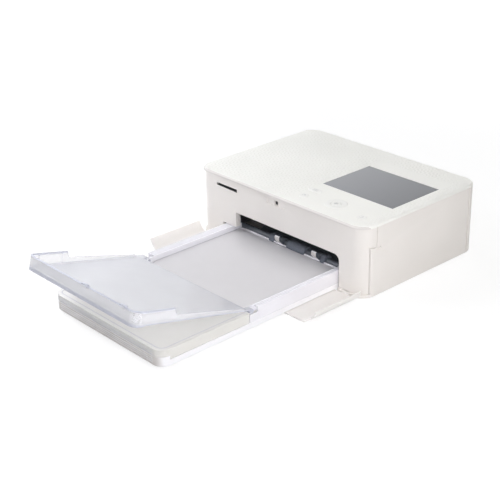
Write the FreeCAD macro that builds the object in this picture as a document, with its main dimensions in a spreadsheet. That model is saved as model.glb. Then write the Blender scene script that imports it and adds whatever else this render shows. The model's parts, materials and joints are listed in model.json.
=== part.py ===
import FreeCAD, Part
import math
import os
import Sketcher
from FreeCAD import Placement, Rotation, Vector

# A compact photo printer with its paper cassette in place, its front door folded down
# and its output flap raised. Millimetres. The origin is on the table under the middle
# of the body, +X to the right of someone facing the front, +Y to the rear, +Z up.

BODY = {
    "body_w": 182.2,
    "body_d": 133.0,
    "body_h": 57.6,
    "corner_r": 13.0,
    "wall": 2.0,
    "base_low": 0.6,
    "base_top": 3.0,
    "seam_z": 2.2,
    "top_round": 2.0,
    "seam_gap": 0.2,
    "static_gap": 0.1,
    "move_gap": 0.3,
    "spin_fit": 0.05,
    "front_step": 1.5,
    "side_seam_low": 9.0,
    "side_seam_high": 15.1,
    "side_step_z": 18.0,
    "foot_r": 4.5,
    "foot_x": 15.1,
    "foot_front": 16.5,
    "foot_rear": 14.5,
    "foot_sink": 1.2,
    "overrun": 5.0,
}

OPENINGS = {
    "exit_left": 44.3,
    "exit_right": 24.9,
    "exit_top": 29.1,
    "exit_round": 5.0,
    "jamb_depth": 5.0,
    "jamb_t": 1.2,
    "slot_left": 28.7,
    "slot_top": 16.8,
    "notch_rear": 20.3,
    "card_x": 34.2,
    "card_w": 24.0,
    "card_z": 9.6,
    "card_h": 2.1,
    "latch_x": 0.5,
    "latch_z": 7.0,
    "latch_hole": 3.4,
    "latch_recess_w": 20.0,
    "latch_recess_h": 4.6,
    "latch_recess_t": 0.6,
    "rear_slot_low": 23.4,
    "rear_slot_high": 29.0,
    "rear_slot_left": 49.1,
    "rear_slot_right": 25.1,
    "vent_w": 2.2,
    "vent_h": 16.0,
    "vent_z": 23.6,
    "vent_pitch": 5.0,
    "vent_count": 6,
    "side_vent_y": 60.5,
    "rear_vent_x": 17.1,
}

SCREEN = {
    "screen_x": 47.05,
    "screen_y": 70.4,
    "screen_w": 71.3,
    "screen_d": 53.4,
    "window_t": 1.3,
    "window_ledge": 1.5,
    "window_sink": 0.1,
    "lcd_border": 2.4,
    "lcd_t": 4.0,
    "board_t": 1.6,
    "key_board_z": 7.0,
    "key_board_left": 87.1,
    "key_board_right": 10.1,
    "key_board_front": 5.0,
    "key_board_rear": 3.8,
    "post_r": 2.0,
    "post_inset": 3.0,
}

KEYS = {
    "key_gap": 0.25,
    "key_proud": 0.2,
    "key_travel": 0.5,
    "key_flange": 0.8,
    "key_flange_t": 0.7,
    "key_play": 0.05,
    "dome_r": 2.2,
    "dome_t": 1.0,
    "stem_r": 1.4,
    "pill_half": 3.4,
    "pill_r": 2.9,
    "menu_x": 76.8,
    "menu_y": 29.5,
    "power_x": 75.9,
    "power_y": 16.1,
    "back_x": 16.7,
    "back_y": 16.1,
    "round_r": 3.6,
    "pad_x": 47.1,
    "pad_y": 21.3,
    "print_r": 3.9,
    "print_flange_r": 4.6,
    "print_flange_t": 0.35,
    "pad_in": 4.3,
    "pad_out": 8.4,
}

FRONT_DOOR = {
    "door_low": 0.2,
    "door_t": 1.2,
    "door_axis_z": 1.5,
    "door_free": 51.9,
    "door_notch": 4.9,
    "door_curl": 11.0,
    "door_start": 0.5,
    "door_wall": 8.9,
    "tongue_w": 5.9,
    "tongue_round": 3.0,
    "door_barrel_r": 1.3,
    "door_pin_r": 0.6,
    "lug_in": 19.8,
    "lug_out": 13.4,
    "ear_t": 1.6,
    "ear_low": 0.4,
    "hook_w": 3.0,
    "hook_back": 2.8,
    "hook_d": 2.4,
    "hook_h": 2.0,
}

INK_DOOR = {
    "ink_door_low": 3.3,
    "ink_door_top": 2.6,
    "ink_door_t": 2.0,
    "ink_axis_in": 1.8,
    "ink_axis_y": 14.0,
    "ink_pin_r": 0.9,
    "ink_pin_h": 1.4,
    "shell_start": 11.8,
    "finger_y": 47.5,
    "finger_w": 5.0,
    "finger_h": 1.6,
}

CHASSIS = {
    "plate_t": 1.0,
    "left_x": 19.1,
    "right_x": 20.1,
    "plate_front": 6.5,
    "plate_rear": 6.5,
    "plate_top": 7.3,
    "bridge_d": 25.0,
    "tab_w": 5.0,
    "tab_x": 21.9,
    "tab_low": 29.9,
    "shaft_out": 2.0,
    "guide_rear_gap": 1.5,
    "guide_t": 1.2,
    "paper_left": 20.5,
    "paper_right": 3.0,
    "roll_over": 4.0,
}

ROLLERS = {
    "pickup_y": 13.3,
    "pickup_z": 12.9,
    "pickup_r": 4.6,
    "pickup_shaft_r": 2.5,
    "mid_roll_left": 3.0,
    "mid_roll_right": 22.4,
    "side_roll_left": 16.5,
    "side_roll_mid": 11.0,
    "side_roll_in": 39.4,
    "side_roll_out": 43.6,
    "exit_r": 4.0,
    "exit_shaft_r": 2.0,
    "platen_y": 67.5,
    "platen_r": 7.0,
    "platen_shaft_r": 3.0,
    "capstan_r": 3.5,
    "capstan_end_r": 2.5,
    "pinch_r": 3.0,
    "pinch_shaft_r": 1.5,
    "nip_gap": 0.3,
    "finger_hub_r": 3.9,
    "left_finger": 7.0,
    "right_finger": 33.0,
    "finger_t": 5.2,
}

GEARS = {
    "module": 0.8,
    "backlash": 0.30,
    "addendum_share": 0.92,
    "dedendum_share": 1.25,
    "gear_t": 4.0,
    "inner_layer": 12.6,
    "outer_layer": 7.1,
    "gear_end": 6.1,
    "clip_r": 3.2,
    "clip_t": 0.8,
    "stud_r": 2.0,
    "pickup_teeth": 20,
    "exit_teeth": 22,
    "takeup_teeth": 28,
    "ribbon_teeth": 26,
    "feed_teeth": 26,
    "capstan_teeth": 30,
    "idler_small": 20,
    "idler_large": 36,
    "pinion_teeth": 14,
    "exit_turn": 28.1,
    "takeup_turn": 51.7,
    "ribbon_turn": -8.0,
    "feed_turn": -1.5,
    "capstan_turn": -27.8,
    "idler_turn": 53.1,
    "motor_turn": -78.0,
}

INK = {
    "tube_r": 9.5,
    "tube_wall": 1.2,
    "ink_left": 31.1,
    "ink_right": 9.1,
    "ink_end_t": 3.5,
    "supply_y": 92.5,
    "supply_z": 38.0,
    "handle_t": 5.0,
    "handle_low": 31.0,
    "handle_high": 45.0,
    "core_r": 3.5,
    "takeup_roll_r": 5.0,
    "supply_roll_r": 7.5,
    "spool_pin_r": 1.95,
    "spool_pin_l": 2.6,
    "hub_r": 2.4,
    "hub_reach": 12.0,
    "film_t": 0.12,
    "film_over": 2.0,
    "film_half": 7.0,
    "slot_gap": 1.0,
    "slot_w": 9.0,
    "slot_low": 3.4,
    "opening_gap": 0.3,
    "ink_pass_low": 26.2,
    "ink_pass_high": 48.0,
    "ink_pass_half": 26.0,
}

HEAD = {
    "head_y": 67.5,
    "head_lift": 1.1,
    "head_half": 5.0,
    "head_t": 2.6,
    "bead_half": 0.8,
    "bead_h": 0.3,
    "sink_half": 8.5,
    "sink_low": 30.6,
    "sink_body": 3.4,
    "sink_top": 42.0,
    "fin_t": 1.3,
    "fin_count": 5,
    "cheek_t": 1.6,
    "pivot_y": 80.0,
    "pivot_z": 32.0,
    "pivot_r": 1.5,
    "cheek_r": 3.4,
    "spring_wire_r": 0.35,
    "spring_r": 2.3,
    "spring_pitch": 1.0,
    "spring_l": 6.0,
    "head_side_gap": 1.4,
}

ELECTRONICS = {
    "motor_r": 11.0,
    "motor_l": 26.0,
    "motor_boss_r": 3.0,
    "motor_shaft_r": 1.0,
    "motor_shaft_in": 8.0,
    "main_left": 57.1,
    "main_right": 22.5,
    "main_front": 32.5,
    "main_rear": 3.7,
    "main_z": 6.0,
    "standoff_r": 3.0,
    "screw_r": 1.2,
    "screw_head_r": 2.4,
    "screw_head_t": 1.4,
    "screw_l": 3.0,
    "screw_inset": 4.0,
    "screw_rear_inset": 9.0,
    "chip_t": 1.4,
    "chip_w": 14.0,
    "small_chip_w": 8.0,
    "cap_r": 3.0,
    "cap_h": 7.0,
    "usb_x": 54.1,
    "usb_w": 7.7,
    "usb_h": 3.9,
    "usb_d": 9.2,
    "usb_wall": 0.5,
    "dc_x": 36.1,
    "dc_w": 9.0,
    "dc_h": 9.6,
    "dc_d": 11.0,
    "dc_bore_r": 2.8,
    "dc_bore_d": 9.0,
    "dc_pin_r": 0.8,
    "socket_gap": 0.4,
    "reader_w": 27.0,
    "reader_d": 27.0,
    "reader_low": 11.2,
    "reader_top": 8.0,
    "reader_wall": 0.4,
    "reader_board_w": 28.0,
    "cable_x": 25.1,
    "cable_w": 5.0,
    "cable_t": 0.3,
    "cable_y": 5.7,
    "cable_z": 5.2,
    "plug_t": 2.0,
}

LEVER = {
    "lever_x": 8.7,
    "lever_t": 2.0,
    "lever_y": 19.0,
    "lever_z": 24.0,
    "lever_hub_r": 3.4,
    "lever_arm_w": 4.0,
    "lever_top": 46.0,
    "lever_hook": 6.5,
    "lever_hook_h": 5.0,
}

CASSETTE = {
    "tray_left": 32.6,
    "tray_right": 26.1,
    "tray_front": 165.5,
    "tray_rear": 18.5,
    "tray_low": 2.0,
    "tray_floor_t": 1.4,
    "tray_wall": 1.5,
    "tray_wall_top": 5.8,
    "tray_front_top": 8.5,
    "tray_round": 8.0,
    "sole_low": 1.2,
    "sole_gap": 2.6,
    "sole_inset": 0.5,
    "groove_half": 2.4,
    "groove_top": 3.7,
    "groove_lap": 0.6,
    "channel_half": 3.5,
    "channel_top": 4.8,
    "divider_x": 51.1,
    "divider_t": 1.2,
    "rib_t": 1.2,
    "rib_front": 4.0,
    "stack_top": 8.0,
    "stack_front": 4.5,
    "stack_length": 176.5,
    "lift_left": 6.0,
    "lift_right": 41.1,
    "lift_front": 33.5,
    "lift_rear": 16.0,
    "lift_low": 4.9,
    "lift_t": 0.8,
    "lift_pin_r": 0.45,
    "spring_strip_t": 0.25,
    "spring_strip_w": 12.0,
}

COVERS = {
    "cover_t": 1.2,
    "cover_low": 5.9,
    "front_cover_top": 13.9,
    "front_cover_t": 2.0,
    "front_cover_rear": 86.7,
    "rear_cover_front": 86.1,
    "rear_cover_rear": 10.4,
    "rear_cover_notch": 8.1,
    "notch_gap": 0.8,
    "ledge_top": 16.2,
    "well_floor": 12.6,
    "well_left": 41.1,
    "well_right": 31.1,
    "lug_cut_rear": 78.5,
    "lug_cut_low": 12.0,
    "flap_y": 84.5,
    "flap_z": 14.5,
    "flap_tilt": 14.1,
    "flap_length": 103.0,
    "flap_start": 5.5,
    "flap_low": 0.5,
    "flap_t": 1.5,
    "flap_round": 8.0,
    "flap_front_top": 9.3,
    "flap_wall_start": 8.0,
    "flap_wall_low": 2.8,
    "flap_wall_high": 5.5,
    "tab_start": 69.0,
    "tab_rise": 71.0,
    "tab_top": 10.2,
    "flap_lug_r": 1.9,
    "flap_pin_r": 1.0,
    "flap_pin_l": 2.2,
    "clip_w": 6.0,
    "clip_h": 2.4,
    "clip_d": 2.0,
    "left_clip_x": 5.0,
    "right_clip_x": 44.1,
}

GROUPS = (BODY, OPENINGS, SCREEN, KEYS, FRONT_DOOR, INK_DOOR, CHASSIS, ROLLERS, GEARS,
          INK, HEAD, ELECTRONICS, LEVER, CASSETTE, COVERS)


# Places that follow the body: their sizes are measured from one of its faces, or from
# the face of the piece that carries them, and are read as places from the middle.

FROM_SIDE = (
    "foot_x", "exit_left", "exit_right", "slot_left", "card_x", "rear_slot_left",
    "rear_slot_right", "rear_vent_x", "screen_x", "key_board_left", "key_board_right",
    "menu_x", "power_x", "back_x", "pad_x", "tongue_w", "lug_in", "lug_out", "left_x",
    "right_x", "tab_x", "inner_layer", "outer_layer", "gear_end", "ink_left", "ink_right",
    "main_left", "main_right", "usb_x", "dc_x", "cable_x", "lever_x", "tray_left",
    "tray_right", "divider_x", "lift_right", "well_left", "well_right", "right_clip_x")
FROM_END = (
    "notch_rear", "menu_y", "power_y", "back_y", "pad_y", "key_board_front",
    "plate_front", "pickup_y", "tray_rear", "lift_rear",
    "rear_cover_rear", "rear_cover_notch", "foot_front", "foot_rear", "plate_rear",
    "main_front", "main_rear", "ink_axis_y", "shell_start", "cable_y", "side_vent_y",
    "lever_y")
BEHIND_FRONT = (
    "screen_y", "platen_y", "head_y", "pivot_y", "supply_y")
AHEAD_OF_FRONT = (
    "tray_front", "lift_front", "front_cover_rear", "rear_cover_front", "lug_cut_rear",
    "flap_y")
FROM_TOP = (
    "seam_z", "side_step_z", "card_z", "latch_z", "key_board_z", "ink_door_top",
    "plate_top", "reader_low", "reader_top", "cable_z", "vent_z")
FROM_PIECE = {"paper_left": "tray_left", "paper_right": "tray_right",
              "rib_front": "tray_front", "stack_front": "tray_front"}


class Measure:
    """A length with its number and the sheet formula that gives it."""

    def __init__(self, number, formula):
        self.number = number
        self.formula = formula

    def joined(self, sign, other, number, swapped=False):
        mine, theirs = self.formula, formula_of(other)
        if swapped:
            mine, theirs = theirs, mine
        return Measure(number, f"({mine} {sign} {theirs})")

    def __add__(self, other):
        return self.joined("+", other, self.number + number_of(other))

    def __radd__(self, other):
        return self.joined("+", other, self.number + number_of(other), True)

    def __sub__(self, other):
        return self.joined("-", other, self.number - number_of(other))

    def __rsub__(self, other):
        return self.joined("-", other, number_of(other) - self.number, True)

    def __mul__(self, other):
        return self.joined("*", other, self.number * number_of(other))

    def __rmul__(self, other):
        return self.joined("*", other, self.number * number_of(other), True)

    def __truediv__(self, other):
        return self.joined("/", other, self.number / number_of(other))

    def __neg__(self):
        return Measure(-self.number, f"(0 - {self.formula})")


def number_of(value):
    return value.number if isinstance(value, Measure) else value


def formula_of(value):
    return value.formula if isinstance(value, Measure) else repr(value)


def cosine(angle):
    return Measure(math.cos(math.radians(angle.number)), f"cos({angle.formula})")


def sine(angle):
    return Measure(math.sin(math.radians(angle.number)), f"sin({angle.formula})")


class Sizes:
    """The named sizes, read as attributes."""

    def __init__(self, groups):
        self.numbers = {}
        for group in groups:
            self.numbers.update(group)

    def __getattr__(self, name):
        own = Measure(self.numbers[name], "size." + name)
        if name in FROM_SIDE:
            return self.body_w / 2 - own
        if name in FROM_END:
            return self.body_d / 2 - own
        if name in BEHIND_FRONT:
            return own - self.body_d / 2
        if name in AHEAD_OF_FRONT:
            return self.body_d / 2 + own
        if name in FROM_TOP:
            return self.body_h - own
        if name in FROM_PIECE:
            return getattr(self, FROM_PIECE[name]) - own
        return own


s = Sizes(GROUPS)
doc = FreeCAD.newDocument("photo_printer")


def write_sheet():
    sheet = doc.addObject("Spreadsheet::Sheet", "size")
    row = 1
    for group in GROUPS:
        for name, value in group.items():
            sheet.set(f"A{row}", name)
            sheet.set(f"B{row}", str(value))
            sheet.setAlias(f"B{row}", name)
            row += 1
    doc.recompute()


write_sheet()
parts = {}

# Building blocks


def bind(item, path, value):
    item.setExpression(path, formula_of(value))


def box(x, y, z):
    """A box between the low and high ends given for each axis."""
    solid = doc.addObject("Part::Box", "Box")
    for side, place, (low, high) in (("Length", "x", x), ("Width", "y", y), ("Height", "z", z)):
        bind(solid, side, high - low)
        bind(solid, "Placement.Base." + place, low)
    return solid


TURNS = {
    "x": Rotation(Vector(0, 1, 0), 90),
    "y": Rotation(Vector(1, 0, 0), -90),
    "z": Rotation(),
}


def rod(axis, span, centre, radius, angle=None):
    """A round bar along an axis, at the other two coordinates in centre."""
    low, high = span
    solid = doc.addObject("Part::Cylinder", "Rod")
    solid.Placement = Placement(Vector(), TURNS[axis])
    bind(solid, "Radius", radius)
    bind(solid, "Height", high - low)
    if angle is not None:
        bind(solid, "Angle", angle)
    others = [name for name in "xyz" if name != axis]
    bind(solid, "Placement.Base." + axis, low)
    for name, value in zip(others, centre):
        bind(solid, "Placement.Base." + name, value)
    return solid


def fuse(*solids):
    if len(solids) == 1:
        return solids[0]
    joined = doc.addObject("Part::MultiFuse", "Fuse")
    joined.Shapes = list(solids)
    joined.Refine = True
    return joined


def group(*solids):
    """Solids of one node that stay apart."""
    gathered = doc.addObject("Part::Compound", "Group")
    gathered.Links = list(solids)
    return gathered


def cut(base, *tools):
    result = doc.addObject("Part::Cut", "Cut")
    result.Base = base
    result.Tool = fuse(*tools)
    result.Refine = True
    return result


def common(first, second):
    result = doc.addObject("Part::Common", "Common")
    result.Base = first
    result.Tool = second
    result.Refine = True
    return result


def origin_feature(body, role):
    return next(item for item in body.Origin.OriginFeatures if item.Role == role)


def new_sketch(body, plane, offset):
    sketch = body.newObject("Sketcher::SketchObject", "Sketch")
    sketch.AttachmentSupport = (origin_feature(body, plane.upper() + "_Plane"), [""])
    sketch.MapMode = "FlatFace"
    bind(sketch, "AttachmentOffset.Base.z", offset)
    return sketch


def draw_outline(sketch, points):
    """A closed outline of straight lines through points, each held by its two distances."""
    spots = [Vector(number_of(a), number_of(b), 0) for a, b in points]
    for index, spot in enumerate(spots):
        sketch.addGeometry(Part.LineSegment(spot, spots[(index + 1) % len(spots)]))
    for index in range(len(spots)):
        following = (index + 1) % len(spots)
        sketch.addConstraint(Sketcher.Constraint("Coincident", index, 2, following, 1))
    for index, pair in enumerate(points):
        for kind, value in zip(("DistanceX", "DistanceY"), pair):
            place = sketch.addConstraint(
                Sketcher.Constraint(kind, -1, 1, index, 1, float(number_of(value))))
            if isinstance(value, Measure):
                bind(sketch, f"Constraints[{place}]", value)


def draw_circle(sketch, radius):
    circle = Part.Circle(Vector(), Vector(0, 0, 1), number_of(radius))
    sketch.addGeometry(circle)
    sketch.addConstraint(Sketcher.Constraint("Coincident", 0, 3, -1, 1))
    place = sketch.addConstraint(Sketcher.Constraint("Radius", 0, float(number_of(radius))))
    bind(sketch, f"Constraints[{place}]", radius)


def pad_sketch(body, sketch, length):
    pad = body.newObject("PartDesign::Pad", "Pad")
    pad.Profile = sketch
    bind(pad, "Length", length)
    body.Tip = pad
    return pad


def edges_at(shape, plane, point):
    """Names of the edges that run straight through one corner of the outline."""
    first, second = {"xy": (0, 1), "xz": (0, 2), "yz": (1, 2)}[plane]
    goal = (number_of(point[0]), number_of(point[1]))
    names = []
    for index, edge in enumerate(shape.Edges):
        ends = [vertex.Point for vertex in edge.Vertexes]
        if len(ends) == 2 and all(
                abs(end[first] - goal[0]) < 1e-6 and abs(end[second] - goal[1]) < 1e-6
                for end in ends):
            names.append(f"Edge{index + 1}")
    return names


def rounded(body, feature, names, radius):
    fillet = body.newObject("PartDesign::Fillet", "Fillet")
    fillet.Base = (feature, names)
    bind(fillet, "Radius", radius)
    body.Tip = fillet
    doc.recompute()
    return fillet


def outline(plane, points, span, rounds=(), crown=None):
    """A pad of an outline in one plane, with some corners and its high rim rounded."""
    low, high = span
    body = doc.addObject("PartDesign::Body", "Body")
    sketch = new_sketch(body, plane, -high if plane == "xz" else low)
    draw_outline(sketch, points)
    feature = pad_sketch(body, sketch, high - low)
    if rounds or crown is not None:
        doc.recompute()
    for corners, radius in rounds:
        names = []
        for corner in corners:
            names += edges_at(feature.Shape, plane, points[corner])
        feature = rounded(body, feature, names, radius)
    if crown is not None:
        rim = [f"Edge{index + 1}" for index, edge in enumerate(feature.Shape.Edges)
               if all(abs(v.Point.z - number_of(high)) < 1e-6 for v in edge.Vertexes)]
        rounded(body, feature, rim, crown)
    return body


def slab(inset, low, high, crown=None):
    """The body's rounded footprint, drawn in by inset, between two heights."""
    half_w, half_d = s.body_w / 2 - inset, s.body_d / 2 - inset
    corners = ((-half_w, -half_d), (half_w, -half_d), (half_w, half_d), (-half_w, half_d))
    return outline("xy", corners, (low, high), [(range(4), s.corner_r - inset)], crown)


def ring(outer, inner, low, high):
    """A wall that follows the footprint between two insets."""
    return cut(slab(outer, low, high), slab(inner, low - s.overrun, high + s.overrun))


def part(name, feature):
    feature.Label = name
    parts[name] = feature
    return feature


half_w = s.body_w / 2
half_d = s.body_d / 2
front_face = -half_d + s.front_step
inner_face = front_face + s.wall
beyond_x = half_w + s.overrun
beyond_y = half_d + s.overrun
low_seam_y = -half_d + s.side_seam_low
high_seam_y = -half_d + s.side_seam_high
paper_left = -s.paper_left
paper_w = s.paper_right - paper_left
roll_left = paper_left - s.roll_over
roll_right = s.paper_right + s.roll_over
plate_left_in = -s.left_x + s.plate_t
plate_right_in = s.right_x - s.plate_t
bridge_y = s.pivot_y + s.tab_w / 2
key_board_rear = s.screen_y - s.screen_d / 2 - s.lcd_border - s.key_board_rear

# Gear train positions, each found from the one before it


def pitch_r(teeth):
    return s.module * teeth / 2


def beside(place, near, far, turn):
    """The centre of a gear that meshes with the one at place, in the given direction."""
    reach = pitch_r(near) + pitch_r(far)
    return place[0] + reach * cosine(turn), place[1] + reach * sine(turn)


pickup_at = (-s.pickup_y, s.pickup_z)
exit_at = beside(pickup_at, s.pickup_teeth, s.exit_teeth, s.exit_turn)
takeup_at = beside(exit_at, s.exit_teeth, s.takeup_teeth, s.takeup_turn)
ribbon_at = beside(takeup_at, s.takeup_teeth, s.ribbon_teeth, s.ribbon_turn)
feed_at = beside(ribbon_at, s.ribbon_teeth, s.feed_teeth, s.feed_turn)
capstan_at = beside(feed_at, s.feed_teeth, s.capstan_teeth, s.capstan_turn)
idler_at = beside(capstan_at, s.capstan_teeth, s.idler_small, s.idler_turn)
motor_at = beside(idler_at, s.idler_large, s.pinion_teeth, s.motor_turn)
path_z = capstan_at[1] + s.capstan_r
platen_at = (s.platen_y, path_z - s.platen_r)
pinch_at = (capstan_at[0], path_z + s.nip_gap + s.pinch_r)
supply_at = (s.supply_y, s.supply_z)
pivot_at = (s.pivot_y, s.pivot_z)
film_z = path_z + s.nip_gap + s.nip_gap / 2 + s.static_gap


def mesh_turn(near_turn, near, far, direction):
    """Degrees that a gear starts turned by, to fit the teeth of the gear it meshes with."""
    near, far = number_of(near), number_of(far)
    angle = number_of(direction)
    return (angle + 180 - (180 - near * (angle - near_turn)) / far) % (360 / far)


feed_phase = mesh_turn(0, s.capstan_teeth, s.feed_teeth, s.capstan_turn + 180)
ribbon_phase = mesh_turn(feed_phase, s.feed_teeth, s.ribbon_teeth, s.feed_turn + 180)
takeup_phase = mesh_turn(ribbon_phase, s.ribbon_teeth, s.takeup_teeth, s.ribbon_turn + 180)
exit_phase = mesh_turn(takeup_phase, s.takeup_teeth, s.exit_teeth, s.takeup_turn + 180)
pickup_phase = mesh_turn(exit_phase, s.exit_teeth, s.pickup_teeth, s.exit_turn + 180)
idler_phase = mesh_turn(0, s.capstan_teeth, s.idler_small, s.idler_turn)
motor_phase = mesh_turn(idler_phase, s.idler_large, s.pinion_teeth, s.motor_turn)


def gear(teeth, low, place, phase, bore=None):
    """A spur gear across X, its teeth patterned from one straight-sided tooth."""
    body = doc.addObject("PartDesign::Body", "Gear")
    pitch = pitch_r(teeth)
    tip = pitch + s.module * s.addendum_share
    root = pitch - s.module * s.dedendum_share
    half = (math.pi * s.module / 2 - s.backlash) / 2
    slope = math.tan(math.radians(20))
    tip_half = half - (tip - pitch) * slope
    root_half = half + (pitch - root) * slope
    disc = new_sketch(body, "yz", low)
    draw_circle(disc, root)
    pad_sketch(body, disc, s.gear_t)
    flank = new_sketch(body, "yz", low)
    foot = root - s.module / 2
    draw_outline(flank, ((foot, -root_half), (root, -root_half), (tip, -tip_half),
                         (tip, tip_half), (root, root_half), (foot, root_half)))
    tooth = pad_sketch(body, flank, s.gear_t)
    doc.recompute()
    pattern = body.newObject("PartDesign::PolarPattern", "Teeth")
    pattern.Originals = [tooth]
    pattern.Axis = (origin_feature(body, "X_Axis"), [""])
    pattern.Angle = 360
    bind(pattern, "Occurrences", teeth)
    body.Tip = pattern
    doc.recompute()
    body.Placement = Placement(Vector(), Rotation(Vector(1, 0, 0), phase))
    bind(body, "Placement.Base.y", place[0])
    bind(body, "Placement.Base.z", place[1])
    if bore is None:
        return body
    return cut(body, rod("x", (low - s.overrun, low + s.gear_t + s.overrun), place, bore))


def hole_x(place, radius, x):
    """A cutter for a hole through a side plate, whose middle is at x."""
    return rod("x", (x - s.overrun, x + s.overrun), place, radius)


# Casing


def base_cover():
    plate = slab(0, s.base_low, s.base_top)
    lug_in, lug_out = s.lug_in - s.seam_gap, s.lug_out + s.seam_gap
    axis_y = -half_d + s.door_axis_z - s.door_low
    notch_y = axis_y + s.door_barrel_r + s.seam_gap
    ears, lug_notches, bores = [], [], []
    for inner, outer in ((-lug_out, -lug_in), (lug_in, lug_out)):
        ears.append(box((inner - s.ear_t, inner), (-half_d + s.seam_gap, notch_y),
                        (s.ear_low, s.base_top)))
        ears.append(box((outer, outer + s.ear_t), (-half_d + s.seam_gap, notch_y),
                        (s.ear_low, s.base_top)))
        lug_notches.append(box((inner, outer), (-beyond_y, notch_y),
                               (-s.overrun, s.base_top + s.overrun)))
        bores.append(rod("x", (inner - s.ear_t - s.seam_gap, outer + s.ear_t + s.seam_gap),
                         (axis_y, s.door_axis_z), s.door_pin_r + s.spin_fit))
    cassette_notch = box((-s.slot_left, s.exit_right), (-beyond_y, -s.notch_rear),
                         (-s.overrun, s.base_top + s.overrun))
    feet = [rod("z", (-s.overrun, s.base_low + s.foot_sink), place, s.foot_r + s.static_gap)
            for place in foot_places()]
    pin = rod("z", (s.base_low + s.foot_sink, s.base_top + s.overrun), ink_axis(),
              s.ink_pin_r + s.spin_fit)
    posts = [rod("z", (s.base_top, s.main_z), place, s.standoff_r) for place in screw_places()]
    screw_holes = [rod("z", (s.base_top, s.main_z + s.overrun), place, s.screw_r + s.spin_fit)
                   for place in screw_places()]
    whole = fuse(plate, *ears, *posts)
    return cut(whole, *lug_notches, cassette_notch, *feet, *bores, pin, *screw_holes)


def foot_places():
    return ((-s.foot_x, -s.foot_front), (s.foot_x, -s.foot_front),
            (-s.foot_x, s.foot_rear), (s.foot_x, s.foot_rear), (0, 0))


def ink_axis():
    return half_w - s.ink_axis_in, s.ink_axis_y


def screw_places():
    left, right = -s.main_left + s.screw_inset, s.main_right - s.screw_inset
    front, rear = s.main_front + s.screw_inset, s.main_rear - s.screw_rear_inset
    return (left, front), (right, front), (left, rear), (right, rear)


def rubber_feet():
    return group(*[rod("z", (0, s.base_low + s.foot_sink), place, s.foot_r)
                   for place in foot_places()])


def body_shell():
    wall = ring(0, s.wall, s.base_top, s.seam_z)
    left = box((-beyond_x, 0), (low_seam_y, beyond_y), (-s.overrun, s.body_h))
    left_high = box((-beyond_x, 0), (-beyond_y, high_seam_y),
                    (s.side_step_z, s.body_h + s.overrun))
    right = box((-s.overrun, beyond_x), (s.shell_start, beyond_y), (-s.overrun, s.body_h))
    walls = cut(common(wall, fuse(left, right)), left_high)
    rear_y = (half_d - s.wall - s.overrun, beyond_y)
    slot = box((-s.rear_slot_left, s.rear_slot_right), rear_y,
               (s.rear_slot_low, s.rear_slot_high))
    board_top = s.main_z + s.board_t
    usb = box((s.usb_x - s.usb_w / 2 - s.socket_gap, s.usb_x + s.usb_w / 2 + s.socket_gap),
              rear_y, (board_top - s.socket_gap, board_top + s.usb_h + s.socket_gap))
    plug = rod("y", rear_y, (s.dc_x, board_top + s.dc_h / 2), s.dc_bore_r + s.socket_gap)
    vents = []
    for index in range(int(number_of(s.vent_count))):
        start = s.side_vent_y + s.vent_pitch * index
        vents.append(box((-beyond_x, -half_w + s.wall + s.overrun), (start, start + s.vent_w),
                         (s.vent_z, s.vent_z + s.vent_h)))
        across = -s.rear_vent_x + s.vent_pitch * index
        vents.append(box((across, across + s.vent_w), rear_y,
                         (s.vent_z, s.vent_z + s.vent_h)))
    return cut(walls, slot, usb, plug, *vents)


def front_panel():
    face = s.front_step + s.wall
    recessed = common(ring(s.front_step, face, s.base_top, s.seam_z),
                      box((-beyond_x, beyond_x), (-beyond_y, low_seam_y),
                          (s.base_top, s.seam_z)))
    columns = common(ring(0, face, s.side_step_z, s.seam_z),
                     box((-beyond_x, beyond_x), (low_seam_y, high_seam_y),
                         (s.side_step_z, s.seam_z)))
    jamb_y = (front_face + s.wall / 2, front_face + s.jamb_depth)
    jamb = box((-s.exit_left - s.jamb_t, s.exit_right + s.jamb_t), jamb_y,
               (s.slot_top, s.exit_top + s.jamb_t))
    mouth = outline("xz", ((-s.slot_left, 0), (s.exit_right, 0),
                           (s.exit_right, s.exit_top), (-s.exit_left, s.exit_top),
                           (-s.exit_left, s.slot_top), (-s.slot_left, s.slot_top)),
                    (-beyond_y, front_face + s.jamb_depth + s.overrun),
                    [((2,), s.exit_round)])
    slot_y = (-beyond_y, inner_face + s.overrun)
    card = box((-s.card_x - s.card_w / 2, -s.card_x + s.card_w / 2), slot_y,
               (s.card_z - s.card_h / 2, s.card_z + s.card_h / 2))
    latch = box((-s.latch_x - s.latch_hole / 2, -s.latch_x + s.latch_hole / 2), slot_y,
                (s.latch_z - s.latch_hole / 2, s.latch_z + s.latch_hole / 2))
    recess = box((-s.latch_x - s.latch_recess_w / 2, -s.latch_x + s.latch_recess_w / 2),
                 (-beyond_y, front_face + s.latch_recess_t),
                 (s.latch_z - s.latch_recess_h / 2, s.latch_z + s.latch_recess_h / 2))
    reach = pitch_r(s.pickup_teeth) + s.module * s.addendum_share + s.move_gap * 2
    gear_pocket = rod("x", (-s.gear_end - s.move_gap, -s.inner_layer), pickup_at, reach)
    return cut(fuse(recessed, columns, jamb), mouth, card, latch, recess, gear_pocket)


def key_cutters():
    """Cutters for the key holes in the top, a little larger than each key."""
    span = (s.seam_z - s.overrun, s.body_h + s.overrun)
    gap = s.key_gap
    return [pill(s.menu_x, -s.menu_y, s.pill_half, s.pill_r + gap, span),
            rod("z", span, (s.power_x, -s.power_y), s.round_r + gap),
            rod("z", span, (s.back_x, -s.back_y), s.round_r + gap),
            rod("z", span, (s.pad_x, -s.pad_y), s.pad_out + gap)]


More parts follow.
